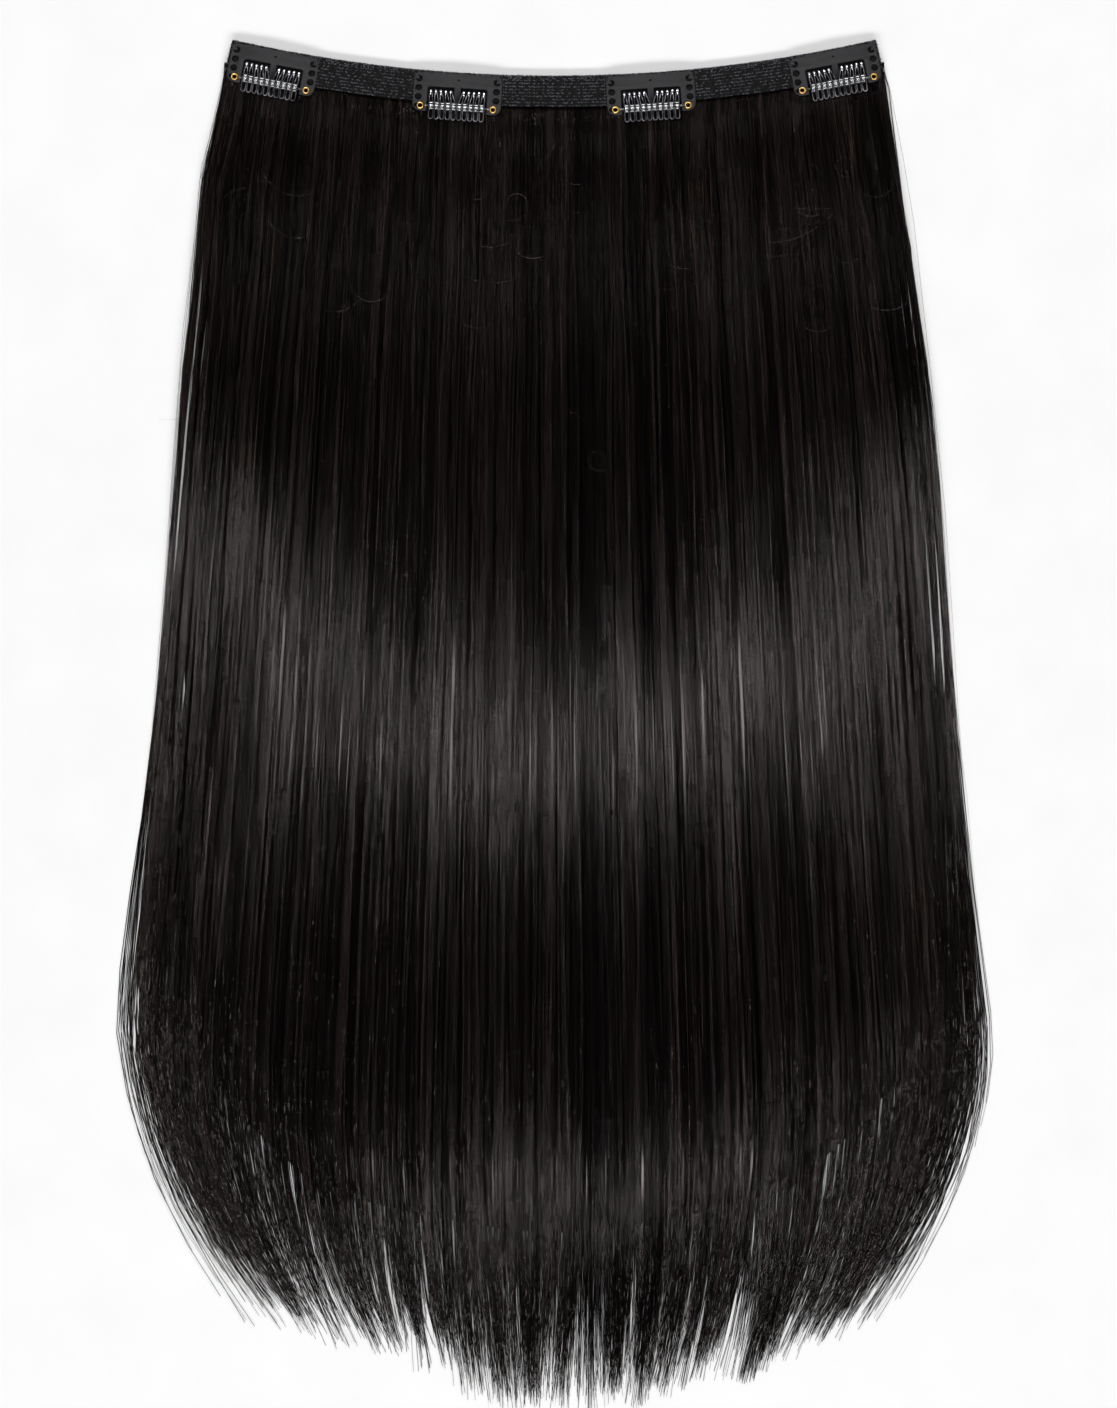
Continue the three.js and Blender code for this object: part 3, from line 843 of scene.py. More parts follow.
@dataclass
class HairFall:
    """The fall of hair: fine hairs in locks that part and thin out towards their tips."""

    arc: TapeArc = field(default_factory=TapeArc)
    length: float = 474.0
    tip_rise: float = 44.0
    corner_rise: float = 12.0
    flare: float = 40.0
    turn_in: float = 24.0
    depth: float = 5.6
    neck_end: float = 0.0146
    side_sink: float = 0.95  # how much thinner the fall is at its sides, below the shoulders
    middle_rise: float = 0.33  # how much thinner its middle is above that
    sweep: float = 0.19  # how far the outer tips sweep inwards along the outline
    shoulder: float = 4.4  # how far the right side stands out below the tape
    left_neck: float = 2.7  # how far the left side stands out just below the tape
    left_shoulder: float = 2.6  # and further down
    left_short: float = 10.0  # how much shorter the left side is cut
    right_corner: float = 0.2  # the right corner's rise, as a share of the left's
    right_sweep: float = 0.8  # the right tips' sweep, as a share of the left's
    strand_tone: float = 0.74  # how much of its tone a hair shares with its strand
    mat_end: float = 0.865
    flyaway_count: int = 420
    stray_count: int = 46
    lock_count: int = 15
    strand_count: int = 440
    wisp_count: int = 210
    layers: tuple[tuple[str, int, float, float], ...] = (
        ("hair_underside", 1500, 0.0, 0.14),
        ("hair_inner", 2000, 0.35, 0.6),
        ("hair_middle", 2100, 0.55, 0.8),
        ("hair_outer", 2150, 0.75, 0.95),
        ("hair_top", 2150, 0.88, 1.0),
    )
    ring_places: tuple[float, ...] = (
        -0.007, 0.004, 0.016, 0.05, 0.1, 0.17, 0.27, 0.4, 0.53, 0.66, 0.76, 0.83, 0.885, 0.93, 0.97, 1.0,
    )
    fibre_radius: tuple[float, float] = (0.095, 0.2)
    seed: int = 5

    flow_down: tuple[float, ...] = (0, 0.022, 0.07, 0.18, 0.43, 0.7, 0.8, 0.88, 0.93, 0.97, 1)
    flow_spread: tuple[float, ...] = (0, 0.03, 0.1, 0.24, 0.52, 0.825, 0.925, 0.97, 0.985, 0.995, 1)
    flow_turn: tuple[float, ...] = (0, 0, 0, 0, 0, 0, 0, 0.16, 0.36, 0.64, 1)
    flow_crest: tuple[float, ...] = (0.31, 0.34, 0.68, 0.94, 1, 0.92, 0.84, 0.7, 0.52, 0.34, 0.14)
    flow_split: tuple[float, ...] = (0, 0, 0, 0, 0, 0, 0, 0.06, 0.3, 0.62, 0.94)

    def flow(self, down: np.ndarray, column: tuple[float, ...]) -> np.ndarray:
        """A smooth value of the flow.

        Args:
            down: The share of the way from the roots to the tips.
            column: The flow's column to read.

        Returns:
            The column's value at each place.
        """
        fine = np.linspace(0, 1, 401)
        values = np.interp(fine, self.flow_down, column)
        kernel = np.ones(25) / 25
        padded = np.concatenate([2 * values[0] - values[24:0:-1], values, 2 * values[-1] - values[-2:-26:-1]])
        smooth = np.convolve(np.convolve(padded, kernel, "same"), kernel, "same")[24:-24]
        share = (down - self.neck_end) / (1 - self.neck_end)
        return np.interp(np.clip(share, 0, 1), fine, smooth)

    def fall_line(self, place: np.ndarray, down: np.ndarray) -> tuple[np.ndarray, np.ndarray]:
        """Where the fall runs, seen from above.

        Args:
            place: The root's place along the tape, from -1 at the left end to 1 at the right.
            down: The share of the way to the tips.

        Returns:
            The x and the y.
        """
        radius = self.arc.low_radius
        angle = place * self.arc.half_angle
        spread = self.flow(down, self.flow_spread) * self.flare
        turn = self.flow(down, self.flow_turn) * self.turn_in
        x = radius * np.sin(angle) + place * (spread - turn)
        left = -self.left_neck * np.exp(-(((down - 0.1) / 0.055) ** 2))
        left = left - self.left_shoulder * np.exp(-(((down - 0.24) / 0.17) ** 2))
        right = self.shoulder * np.exp(-(((down - 0.3) / 0.21) ** 2))
        x = x + np.where(place < 0, left, right) * place**4
        root = self.arc.centre_y - radius * np.cos(angle)
        corner = self.corner_rise * np.where(place < 0, 1, self.right_corner)
        rise = self.tip_rise * np.abs(place) ** 1.5 + corner * np.abs(place) ** 8
        tip = self.arc.centre_y - radius - self.length + rise
        return x, root + (tip - root) * down

    def heights(
        self, place: np.ndarray, lock_place: np.ndarray, down: np.ndarray
    ) -> tuple[np.ndarray, np.ndarray]:
        """The fall's lower and upper faces.

        Args:
            place: The root's place along the tape, from -1 to 1.
            lock_place: The place across its lock, from 0 to 1.
            down: The share of the way to the tips.

        Returns:
            The heights of both faces.
        """
        neck = [-0.01, 0.0, 0.006, self.neck_end]
        low = np.interp(down, [*neck, 0.05], [1.05, 1.0, 0.6, 0.2, 0.12])
        crest = self.depth * self.flow(down, self.flow_crest)
        swell = 0.4 + 0.6 * self.flow(down, self.flow_split)
        dome = 1 - 0.34 * swell * (1 - np.sin(np.pi * np.clip(lock_place, 0.01, 0.99)) ** 0.8)
        # The sides sink between the shoulders and the middle, so their sheen sits higher than the middle's.
        slope = np.clip((down - 0.23) / 0.34, 0, 1)
        slope = (slope + slope * slope * (3 - 2 * slope)) / 2
        side = np.abs(place) ** 1.5
        crest = crest * (1 - self.side_sink * side * slope - self.middle_rise * (1 - side) * (1 - slope))
        high = np.where(
            down < self.neck_end,
            np.interp(down, neck, [1.98, 1.95, 1.8, 1.62]),
            np.maximum(crest * dome, 0.6),
        )
        return low, np.maximum(high, low + 0.25)

    def strand_of(self, place: np.ndarray) -> np.ndarray:
        """The number of the strand that a hair belongs to, from its root's place."""
        return np.clip((place + 1) / 2 * self.strand_count, 0, self.strand_count - 1).astype(int)

    def centre_lines(self, rng: np.random.Generator, count: int, low: float, high: float) -> np.ndarray:
        """Lays hairs along the fall.

        Args:
            rng: The source of their small differences.
            count: How many hairs.
            low: The lowest height share of the layer.
            high: The highest height share of the layer.

        Returns:
            The points of each hair, one row of points per hair.
        """
        rings = np.array(self.ring_places)
        # Stratified roots cover the whole tape without bald places.
        place = (np.arange(count) + rng.uniform(0, 1, count)) / count * 2 - 1
        edge = np.abs(place) ** 3
        fray = rng.exponential(0.055 + 0.04 * edge + 0.07 * np.exp(-(((place + 0.65) / 0.3) ** 2)), count)
        early = rng.uniform(0, 1, count) < 0.46
        end = 1.006 - np.clip(np.where(early, fray + rng.uniform(0.02, 0.2, count), fray), 0, 0.4)
        down = np.where(rings[None, :] < 0.02, rings[None, :], rings[None, :] * end[:, None])
        # The rings slide a little from hair to hair, so that no row of bends shows across the fall.
        slide = np.clip((rings - 0.2) / 0.3, 0, 1) * np.clip((1 - rings) / 0.25, 0, 1)
        down = down + rng.uniform(-0.035, 0.035, count)[:, None] * slide[None, :]

        lock = np.clip(np.floor((place + 1) / 2 * self.lock_count), 0, self.lock_count - 1)
        centre = (lock + 0.5) / self.lock_count * 2 - 1
        split = self.flow(down, self.flow_split)
        wisp_rng = np.random.default_rng(self.seed)
        wisp_edges = np.sort(wisp_rng.uniform(-1, 1, self.wisp_count))
        found = np.searchsorted(wisp_edges, place + rng.normal(0, 0.006, count))
        wisp = np.clip(found, 1, self.wisp_count - 1)
        wisp_centre = (wisp_edges[wisp - 1] + wisp_edges[wisp]) / 2
        wisp_sway = wisp_rng.normal(0, 1, self.wisp_count)[wisp]
        wisp_length = wisp_rng.normal(0, 1, self.wisp_count)[wisp]

        # The upper hairs of a strand lie close together, which leaves dark gaps between the strands.
        strand = self.strand_of(place)
        gather = wisp_rng.uniform(0.35, 0.85, self.strand_count)[strand][:, None] * (low > 0.5)
        beside = ((strand + 0.5) / self.strand_count * 2 - 1 - place)[:, None]
        grip = np.clip((down - 0.55) / 0.45, 0, 1) ** 1.6
        stray = rng.uniform(0.35, 1, count)[:, None]
        held = place[:, None] + beside * gather * np.clip((down - 0.02) / 0.06, 0, 1) * (1 - grip)
        held = held + (wisp_centre - place)[:, None] * 0.5 * grip * stray
        held = held + (centre[:, None] - held) * 0.1 * split
        swing = np.clip((down - 0.79) / 0.22, 0, 1)
        sweep = self.sweep * np.where(place < 0, 1, self.right_sweep)[:, None]
        held = held * (1 - sweep * np.abs(held) ** 1.4 * swing**1.8 * (0.7 + 0.6 * stray))
        root_cross = rng.normal(0, 0.009, count)[:, None] * np.clip(1 - down / 0.16, 0, 1)
        held = held + root_cross * np.clip(down / 0.01, 0, 1)

        x, y = self.fall_line(held, down)
        sway = (2 * np.sin(2.4 * lock + 0.8)[:, None] + 1.5 * wisp_sway[:, None]) * split
        lift = 4 * (0.5 - 0.5 * np.sin(4.1 * lock + 1))[:, None] * split
        lift = lift + np.clip(4 * wisp_length, -4, 10)[:, None] * split
        # The left side is cut a little shorter than the right.
        lift = lift + self.left_short * np.exp(-(((place[:, None] + 0.5) / 0.33) ** 2)) * split
        x = x + sway
        y = y + lift * down
        # The outermost hairs hang apart, so the floor shows between them.
        apart = np.sign(place) * np.clip(np.abs(place) - 0.8, 0, 1) / 0.2 * rng.uniform(-15, 6, count)
        x = x + apart[:, None] * np.clip((down - 0.5) / 0.4, 0, 1)

        # Near the tips each hair bends its own way, and near the roots each wisp is a little wavy.
        bend = np.clip((down - 0.8) / 0.2, 0, 1) ** 2
        x = x + rng.normal(0, 2.3, count)[:, None] * bend
        crimp = wisp_rng.rayleigh(0.6, self.wisp_count)[wisp][:, None] * np.clip((0.42 - down) / 0.3, 0, 1)
        crimp_phase = wisp_rng.uniform(0, 6.28, self.wisp_count)[wisp][:, None]
        crimped = np.clip(down / 0.08, 0, 1)
        x = x + crimp * np.sin(2 * np.pi * down / 0.19 + crimp_phase) * crimped

        free = np.clip(down / 0.25, 0, 1)
        phase = rng.uniform(0, 2 * np.pi, count)[:, None]
        shared_phase = wisp_rng.uniform(0, 2 * np.pi, self.strand_count)[strand][:, None]
        shared_cycles = wisp_rng.uniform(0.8, 3.4, self.strand_count)[strand][:, None]
        shared_size = wisp_rng.rayleigh(0.4, self.strand_count)[strand][:, None]
        for size, cycles, start in (
            (rng.rayleigh(0.16, count)[:, None], rng.uniform(1, 4, count)[:, None], phase),
            (shared_size, shared_cycles, shared_phase),
        ):
            x = x + size * (np.sin(2 * np.pi * cycles * down + start) - np.sin(start)) * free

        lock_place = (place + 1) / 2 * self.lock_count - lock
        share = rng.uniform(low, high, count)[:, None]
        bottom, top = self.heights(place[:, None], lock_place[:, None], down)
        z = bottom + (top - bottom) * share
        # Each wisp lifts and sinks a little along its way, which breaks the sheen into streaks.
        wave = wisp_rng.uniform(0.9, 2.3, self.wisp_count)[wisp][:, None]
        wave_phase = wisp_rng.uniform(0, 6.28, self.wisp_count)[wisp][:, None]
        wave_size = wisp_rng.rayleigh(0.3, self.wisp_count)[wisp][:, None]
        z = z + wave_size * np.sin(2 * np.pi * wave * down + wave_phase) * free * (1 - split) * share
        z = z + 0.45 * crimp * np.cos(2 * np.pi * down / 0.19 + crimp_phase + 1) * crimped * share
        # So does each strand of a few hairs, and each hair a little on its own.
        ripple = wisp_rng.uniform(1.4, 4.2, self.strand_count)[strand][:, None]
        ripple_phase = wisp_rng.uniform(0, 6.28, self.strand_count)[strand][:, None]
        ripple_size = wisp_rng.rayleigh(0.13, self.strand_count)[strand][:, None]
        sunk = wisp_rng.beta(0.8, 2.2, self.strand_count)[strand][:, None]
        z = z - (top - bottom) * sunk * 0.3 * share * free
        z = z + ripple_size * np.sin(2 * np.pi * ripple * down + ripple_phase) * free * share
        own = rng.uniform(1.5, 4, count)[:, None]
        z = z + 0.05 * np.sin(2 * np.pi * own * down + 2 * phase) * free * share
        return np.stack([x, y, np.maximum(z, bottom)], 2)

    def hair_tubes(
        self, lines: np.ndarray, radii: np.ndarray, turn: np.ndarray
    ) -> tuple[np.ndarray, np.ndarray]:
        """Gives each line a tapered three-sided body, closed at both ends.

        Args:
            lines: The points of each hair.
            radii: The radius at each point.
            turn: How far each hair's section is turned.

        Returns:
            The vertices and the triangles.
        """
        count, rings = radii.shape
        along = np.gradient(lines, axis=1)
        along /= np.linalg.norm(along, axis=2, keepdims=True)
        side = np.cross(along, [0.0, 0.0, 1.0])
        side /= np.linalg.norm(side, axis=2, keepdims=True)
        up = np.cross(side, along)
        angle = turn[:, None] + np.arange(3)[None, :] * 2 * np.pi / 3
        ring = (
            np.cos(angle)[:, None, :, None] * side[:, :, None, :]
            + np.sin(angle)[:, None, :, None] * up[:, :, None, :]
        )
        points = lines[:, :, None, :] + radii[:, :, None, None] * ring
        faces = []
        for i in range(rings - 1):
            for k in range(3):
                here, beside = 3 * i + k, 3 * i + (k + 1) % 3
                faces += [(here, here + 3, beside + 3), (here, beside + 3, beside)]
        last = 3 * (rings - 1)
        faces += [(0, 1, 2), (last + 2, last + 1, last)]
        start = np.arange(count)[:, None, None] * 3 * rings
        return points.reshape(-1, 3), (np.array(faces)[None] + start).reshape(-1, 3)

    def layer(self, number: int) -> bpy.types.Object:
        """Builds one layer of hairs.

        Args:
            number: The layer's number from the underside.

        Returns:
            The layer, in metres.
        """
        name, count, low, high = self.layers[number]
        rng = np.random.default_rng(self.seed + 100 * number)
        lines = self.centre_lines(rng, count, low, high)
        rings = np.array(self.ring_places)
        thick = rng.uniform(*self.fibre_radius, count)[:, None]
        taper = np.interp(rings, [0, 0.7, 0.93, 1.0], [1, 1, 0.85, 0.55])
        radii = thick * taper[None, :]
        lines[:, :, 2] = np.maximum(lines[:, :, 2], radii + 0.02)
        points, faces = self.hair_tubes(lines, radii, rng.uniform(0, 2 * np.pi, count))
        piece = mesh_from_triangles(name, points * MILLIMETRE, faces)
        # Hairs of one strand share most of their tone, which makes fine streaks.
        place = (np.arange(count) + 0.5) / count * 2 - 1
        shared = np.random.default_rng(self.seed).beta(0.7, 0.6, self.strand_count)
        own = rng.beta(0.9, 0.8, count)
        tone = self.strand_tone * shared[self.strand_of(place)] + (1 - self.strand_tone) * own
        tone_attribute(piece.data, np.repeat(tone, 3 * len(rings)))
        return piece

    def stray_lines(self, rng: np.random.Generator) -> list[np.ndarray]:
        """Short loose hairs that lie in curls over the fall, mostly below the tape.

        Args:
            rng: The source of their differences.

        Returns:
            The points of each hair.
        """
        lines = []
        rings = len(self.ring_places)
        for _ in range(self.stray_count):
            place = rng.uniform(-0.93, 0.93)
            down = min(0.055 + rng.exponential(0.09), 0.75)
            x0, y0 = self.fall_line(np.array(place), np.array(down))
            heading = -np.pi / 2 + rng.normal(0, 0.7)
            bend = rng.normal(0, 0.09)
            step = rng.uniform(0.9, 2.6)
            turned = heading + bend * step * (np.arange(rings) + 0.06 * np.arange(rings) ** 2)
            x = x0 + np.cumsum(np.cos(turned)) * step
            y = y0 + np.cumsum(np.sin(turned)) * step
            reach = (self.fall_line(np.array(place), np.array(0.0))[1] - y) / self.length
            _, top = self.heights(np.full(rings, place), np.full(rings, 0.5), np.clip(reach, 0.02, 1))
            lift = 0.25 + 0.5 * np.sin(np.linspace(0, np.pi, rings)) * rng.uniform(0, 1)
            lines.append(np.stack([x, y, top + lift], 1))
        return lines

    def flyaways(self) -> bpy.types.Object:
        """Builds the loose hairs: curls over the fall, and long ones that leave its outline."""
        rng = np.random.default_rng(self.seed + 999)
        count = self.flyaway_count
        lines = self.centre_lines(rng, count, 0.9, 1.0)
        down = np.linspace(0, 1, len(self.ring_places))[None, :]
        reach = rng.normal(0, 3.0, count)[:, None]
        leave = rng.uniform(0, 0.6, count)[:, None]
        lines[:, :, 0] += reach * np.clip((down - leave) / 0.5, 0, 1) ** 2
        # Those with roots more than 100 mm from the middle stand off the fall's sides.
        edge = np.sign(lines[:, :1, 0]) * np.clip(np.abs(lines[:, :1, 0]) / 112 - 0.9, 0, 1) * 10
        stand_off = np.minimum(np.abs(rng.normal(0, 1.1, count)), 2)[:, None]
        lines[:, :, 0] += edge * stand_off * np.clip(down * 3, 0, 1)
        # They rise clear of the fall only below the combs, which swing down over the roots.
        lines[:, :, 2] += 0.35 * np.clip((down - 0.2) * 4, 0, 1)
        lines = np.concatenate([lines, np.array(self.stray_lines(rng))])
        taper = np.interp(np.array(self.ring_places), [0, 0.6, 1.0], [1, 0.9, 0.35])
        radii = rng.uniform(0.05, 0.085, len(lines))[:, None] * taper[None, :]
        points, faces = self.hair_tubes(lines, radii, rng.uniform(0, 6.28, len(lines)))
        piece = mesh_from_triangles("hair_flyaways", points * MILLIMETRE, faces)
        tone_attribute(piece.data, np.repeat(rng.uniform(0.4, 1, len(lines)), 3 * len(self.ring_places)))
        return piece

    def mat(self) -> bpy.types.Object:
        """The dense inside of the fall: a thin mat that no light passes, ending before the locks part."""
        piece = thin_slab(60, 26, True)
        points = points_of(piece.data).astype(np.float64)
        down = (1 - points[:, 1]) / 2 * self.mat_end
        # It keeps inside the outline, where the outer hairs sweep inwards.
        narrow = 0.12 * np.clip((down - 0.45) / 0.35, 0, 1)
        narrow = narrow + 0.28 * np.clip((down - 0.79) / 0.075, 0, 1) ** 1.4
        place = points[:, 0] * (0.955 - narrow)
        thin = np.clip((self.mat_end - down) / 0.05, 0.02, 1)
        upper = points[:, 2] > -0.5
        bottom, top = self.heights(place, np.full(len(place), 0.15), down)
        middle = bottom + (top - bottom) * 0.3
        half = (top - bottom) * 0.2 * thin * np.sqrt(np.clip(1 - np.abs(points[:, 0]) ** 6, 0.02, 1))
        x, y = self.fall_line(place, down)
        set_points(piece.data, np.stack([x, y, middle + np.where(upper, half, -half)], 1) * MILLIMETRE)
        # The mat stands for the dense inside of the fall; its tone near the darkest end is painted shade
        # there.
        tone_attribute(piece.data, np.full(len(place), 0.1))
        shade_by_angle(piece, 60)
        piece.name = "hair_mat"
        return piece


@dataclass
class SnapClip:
    """A sewn-on snap clip: a bowed plate, a wire comb with a silicone grip, and two eyelets."""

    width: float = 32.4
    top: float = 12.2
    foot: float = 1.9
    thickness: float = 0.6
    edge_round: float = 0.2
    rise: float = 0.55
    top_radius: float = 2.4
    foot_radius: float = 2.9
    arm: float = 5.35
    bar: float = 5.1
    window_radius: float = 0.8
    tongue: float = 2.3
    tongue_end: float = 1.6
    hole_radius: float = 1.15
    hole_heights: tuple[float, ...] = (3.23, 6.54, 9.85)
    hole_inset: float = 2.0
    eyelet_inset: float = 2.95
    bore: float = 0.74
    barrel: float = 0.95
    flange: float = 1.28
    seat: float = 3.3
    teeth_per_side: int = 5
    tooth_width: float = 1.5
    wire: float = 0.4
    loop_end: float = 4.9
    tip_end: float = 6.1
    tip_width: float = 0.55
    spine_height: float = 1.38
    tooth_height: float = 1.83
    grip_height: float = 3.2
    grip_thickness: float = 0.85
    tooth_pitch: float = 2.05
    spine_radius: float = 0.42
    tongue_drop: float = 0.095  # per millimetre from its root
    channel: float = 0.6
    thread_radius: float = 0.13
    # The sewing thread's way from its hole to beyond the edge: the share of the way, and the height.
    thread_path: tuple[tuple[float, float], ...] = (
        (0, -0.1), (0.12, 0.75), (0.3, 1.0), (0.6, 1.02), (0.85, 0.85), (1, 0.25), (0.98, -0.1),
    )
    tip_seed: int = 3
    thread_seed: int = 9

    @property
    def window_side(self) -> float:
        """Half the window's width."""
        return self.width / 2 - self.arm

    def bow(self, across: float | np.ndarray) -> float | np.ndarray:
        """How far the plate rises at a place across it."""
        return self.rise * (1 - np.abs(across) / (self.width / 2))

    def outline(self) -> list[tuple]:
        """The plate's outline with its window, which is open at the foot."""
        side, low = self.width / 2, -self.foot
        inner, lip = self.window_side, 0.45
        window_top = self.top - self.bar
        r, f, w = self.top_radius, self.foot_radius, self.window_radius
        right = circle_arc(inner + lip, low + lip, lip, 180, 270, 3)
        right += circle_arc(side - f, low + f, f, -90, 0, 8)
        right += circle_arc(side - r, self.top - r, r, 0, 90, 7)
        left = [(-x, y) for x, y in reversed(right)]
        half = self.tongue / 2
        window = circle_arc(-inner + w, window_top - w, w, 180, 90, 4)
        window += [(-half, window_top), (-half, self.tongue_end + 0.3)]
        window += circle_arc(-half + 0.3, self.tongue_end + 0.3, 0.3, 180, 270, 2)
        window += circle_arc(half - 0.3, self.tongue_end + 0.3, 0.3, 270, 360, 2)
        window += [(half, window_top)]
        window += circle_arc(inner - w, window_top - w, w, 90, 0, 4)
        return right + left + window

    def holes(self) -> list[list[tuple]]:
        """The sewing holes, the eyelet holes, the left one a keyhole, and the bar's small dimple."""
        place = self.width / 2 - self.hole_inset
        eyelet = self.width / 2 - self.eyelet_inset
        found = []
        for sign in (-1, 1):
            for height in self.hole_heights:
                found.append(circle_arc(sign * place, height, self.hole_radius, 0, 342, 19))
        found.append(circle_arc(eyelet, 0, self.barrel + 0.15, 0, 342, 19))
        slot = circle_arc(-eyelet, 0, self.barrel + 0.15, -80, 80, 10)
        slot += circle_arc(-eyelet - 1.45, 0.12, 0.72, 105, 255, 8)
        found.append(slot)
        found.append(circle_arc(0.1, 9.9, 0.3, 0, 315, 7))
        return found

    def plate(self) -> bpy.types.Object:
        """Stamps the plate from its outline, rounds its edges and bows it to a crease in its middle."""
        curve = bpy.data.curves.new("plate", "CURVE")
        curve.dimensions = "2D"
        curve.fill_mode = "BOTH"
        curve.extrude = self.thickness / 2 - self.edge_round
        curve.bevel_depth = self.edge_round
        curve.bevel_resolution = 2
        curve.offset = -self.edge_round
        draw_paths(curve, [self.outline(), *self.holes()], True)
        piece = mesh_of_curve(curve)
        whole_mesh_edit(piece)
        bpy.ops.mesh.remove_doubles(threshold=0.002)
        bpy.ops.mesh.bisect(plane_co=(0, 0, 0), plane_no=(1, 0, 0))
        bpy.ops.mesh.select_all(action="SELECT")
        bpy.ops.mesh.normals_make_consistent(inside=False)
        close_edit()
        points = points_of(piece.data)
        points[:, 2] += self.thickness / 2 + self.bow(points[:, 0])
        # The tongue is pressed down from its root, so that it springs against the hair.
        root = self.top - self.bar - 0.3
        tongue = (np.abs(points[:, 0]) < self.tongue / 2 + 0.02) & (points[:, 1] < root)
        points[:, 2] -= np.where(tongue, (root - points[:, 1]) * self.tongue_drop, 0.0)
        # It is pressed to a channel, which stiffens it.
        points[:, 2] -= np.where(tongue & (np.abs(points[:, 0]) < 0.02), self.channel, 0.0)
        set_points(piece.data, points)
        tone_attribute(piece.data, tongue.astype(float))
        shade_by_angle(piece, 38)
        return piece

    def lift(self, v: float) -> float:
        """How high the teeth's wire runs at a distance above the eyelet line."""
        places = [-self.loop_end, -0.35 * self.loop_end, 0.3 * self.tip_end, 0.6 * self.tip_end, self.tip_end]
        return self.tooth_height * float(np.interp(v, places, [0.86, 1, 1, 0.8, 0.3]))

    def tooth_centres(self) -> list[tuple[float, float]]:
        """For each tooth, its place across at its base and at its tip."""
        clear = 0.72 + self.tip_width / 2 + self.wire / 2
        first, last = self.tongue / 2 + clear, self.window_side - clear
        found = []
        for side in (-1, 1):
            for number in range(self.teeth_per_side):
                base = side * (number + 0.5) * self.tooth_pitch
                tip = side * (first + (last - first) * number / (self.teeth_per_side - 1))
                found.append((base, tip))
        return found

    def tooth_path(self, base: float, tip: float) -> list[tuple]:
        """One hairpin tooth, bent round at both its ends.

        Args:
            base: Its place across at its round loop.
            tip: Its place across at its narrow tip.

        Returns:
            The wire's closed path.
        """
        bend = self.tooth_width / 2
        low = bend + self.wire / 2 - self.loop_end
        small = self.tip_width / 2
        high = self.tip_end - self.wire / 2 - small
        steps = np.linspace(low, high, 9)
        share = np.clip(steps / high, 0, 1)
        middle = base + (tip - base) * share
        gap = bend + (small - bend) * share**1.3
        left = [(m - g, v) for m, g, v in zip(middle, gap, steps)]
        right = [(m + g, v) for m, g, v in zip(middle, gap, steps)]
        crown = circle_arc(tip, high, small, 180, 0, 5)[1:-1]
        loop = circle_arc(base, low, bend, 0, -180, 8)[1:-1]
        path = left + crown + right[::-1] + loop
        return [(u, v, self.lift(v)) for u, v in path]

    def comb(self) -> bpy.types.Object:
        """Bends the ten hairpin teeth and lays them over their spine."""
        paths = [self.tooth_path(base, tip) for base, tip in self.tooth_centres()]
        teeth = wire_mesh("teeth", paths, self.wire / 2, True, 1)
        reach = self.width / 2 - self.eyelet_inset - self.flange - 0.15
        rod = [(-reach, 0, self.spine_height), (-reach + 0.15, 0, self.spine_height)]
        rod += [(u, 0, self.spine_height) for u in np.linspace(-8, 8, 5)]
        rod += [(reach - 0.15, 0, self.spine_height), (reach, 0, self.spine_height)]
        spine = wire_mesh("spine", [rod], self.spine_radius, False, 3)
        piece = joined("comb", [teeth, spine])
        shade_by_angle(piece, 60)
        return piece

    def tips(self) -> bpy.types.Object:
        """Presses a flat, rounded pad over each tooth's tip."""
        rng = np.random.default_rng(self.tip_seed)
        pads = []
        for _, tip in self.tooth_centres():
            deselect_all()
            size = rng.uniform(0.85, 1.15)
            bpy.ops.mesh.primitive_uv_sphere_add(segments=12, ring_count=8, radius=1.0)
            pad = bpy.context.object
            whole_mesh_edit(pad)
            bpy.ops.transform.resize(value=(0.46 * size, 0.92 * size, 0.2))
            close_edit()
            points = points_of(pad.data)
            # The press leaves the pad wider towards its tip, and tilted as the wire runs.
            points[:, 0] *= 1 + 0.22 * points[:, 1]
            v = self.tip_end - 1.15
            points[:, 2] += 0.24 + self.lift(v) + (points[:, 1] * -0.12)
            points[:, 0] += tip + rng.normal(0, 0.04)
            points[:, 1] += v + rng.normal(0, 0.1)
            set_points(pad.data, points)
            pads.append(pad)
        piece = joined("tips", pads)
        shade_by_angle(piece, 60)
        return piece

    def grip(self) -> bpy.types.Object:
        """Moulds the silicone strip: a rounded rib over each tooth, crowned towards its middle."""
        count = 2 * self.teeth_per_side
        piece = thin_slab(count * 12, 12, False)
        points = points_of(piece.data).astype(np.float64)
        across_place = (points[:, 0] + 1) / 2 * count
        # Each rib has a shallow furrow down its middle, between the two wires that it covers.
        rib = np.abs(np.sin(np.pi * across_place)) ** 0.62 - 0.3 * np.abs(np.sin(np.pi * across_place)) ** 7
        crown = (1 - np.abs(points[:, 1]) ** 3.2) ** 0.5
        upper = points[:, 2] > -0.5
        number = np.floor(np.clip(across_place, 0, count - 1e-6))
        # The ribs' ends are scalloped, each a little different from its neighbour.
        reach = self.grip_height / 2 * (0.9 + 0.1 * rib + 0.03 * np.sin(2.3 * number + 1))
        base = 0.22
        height = base + (self.grip_thickness - base) * rib * crown * (0.94 + 0.06 * np.sin(1.7 * number))
        x = points[:, 0] * count * self.tooth_pitch / 2
        z = np.where(upper, height * (0.35 + 0.65 * crown), 0.0)
        seat = self.tooth_height + self.wire / 2 + 0.12
        set_points(piece.data, np.stack([x, points[:, 1] * reach, seat + z], 1))
        shade_by_angle(piece, 70)
        return piece

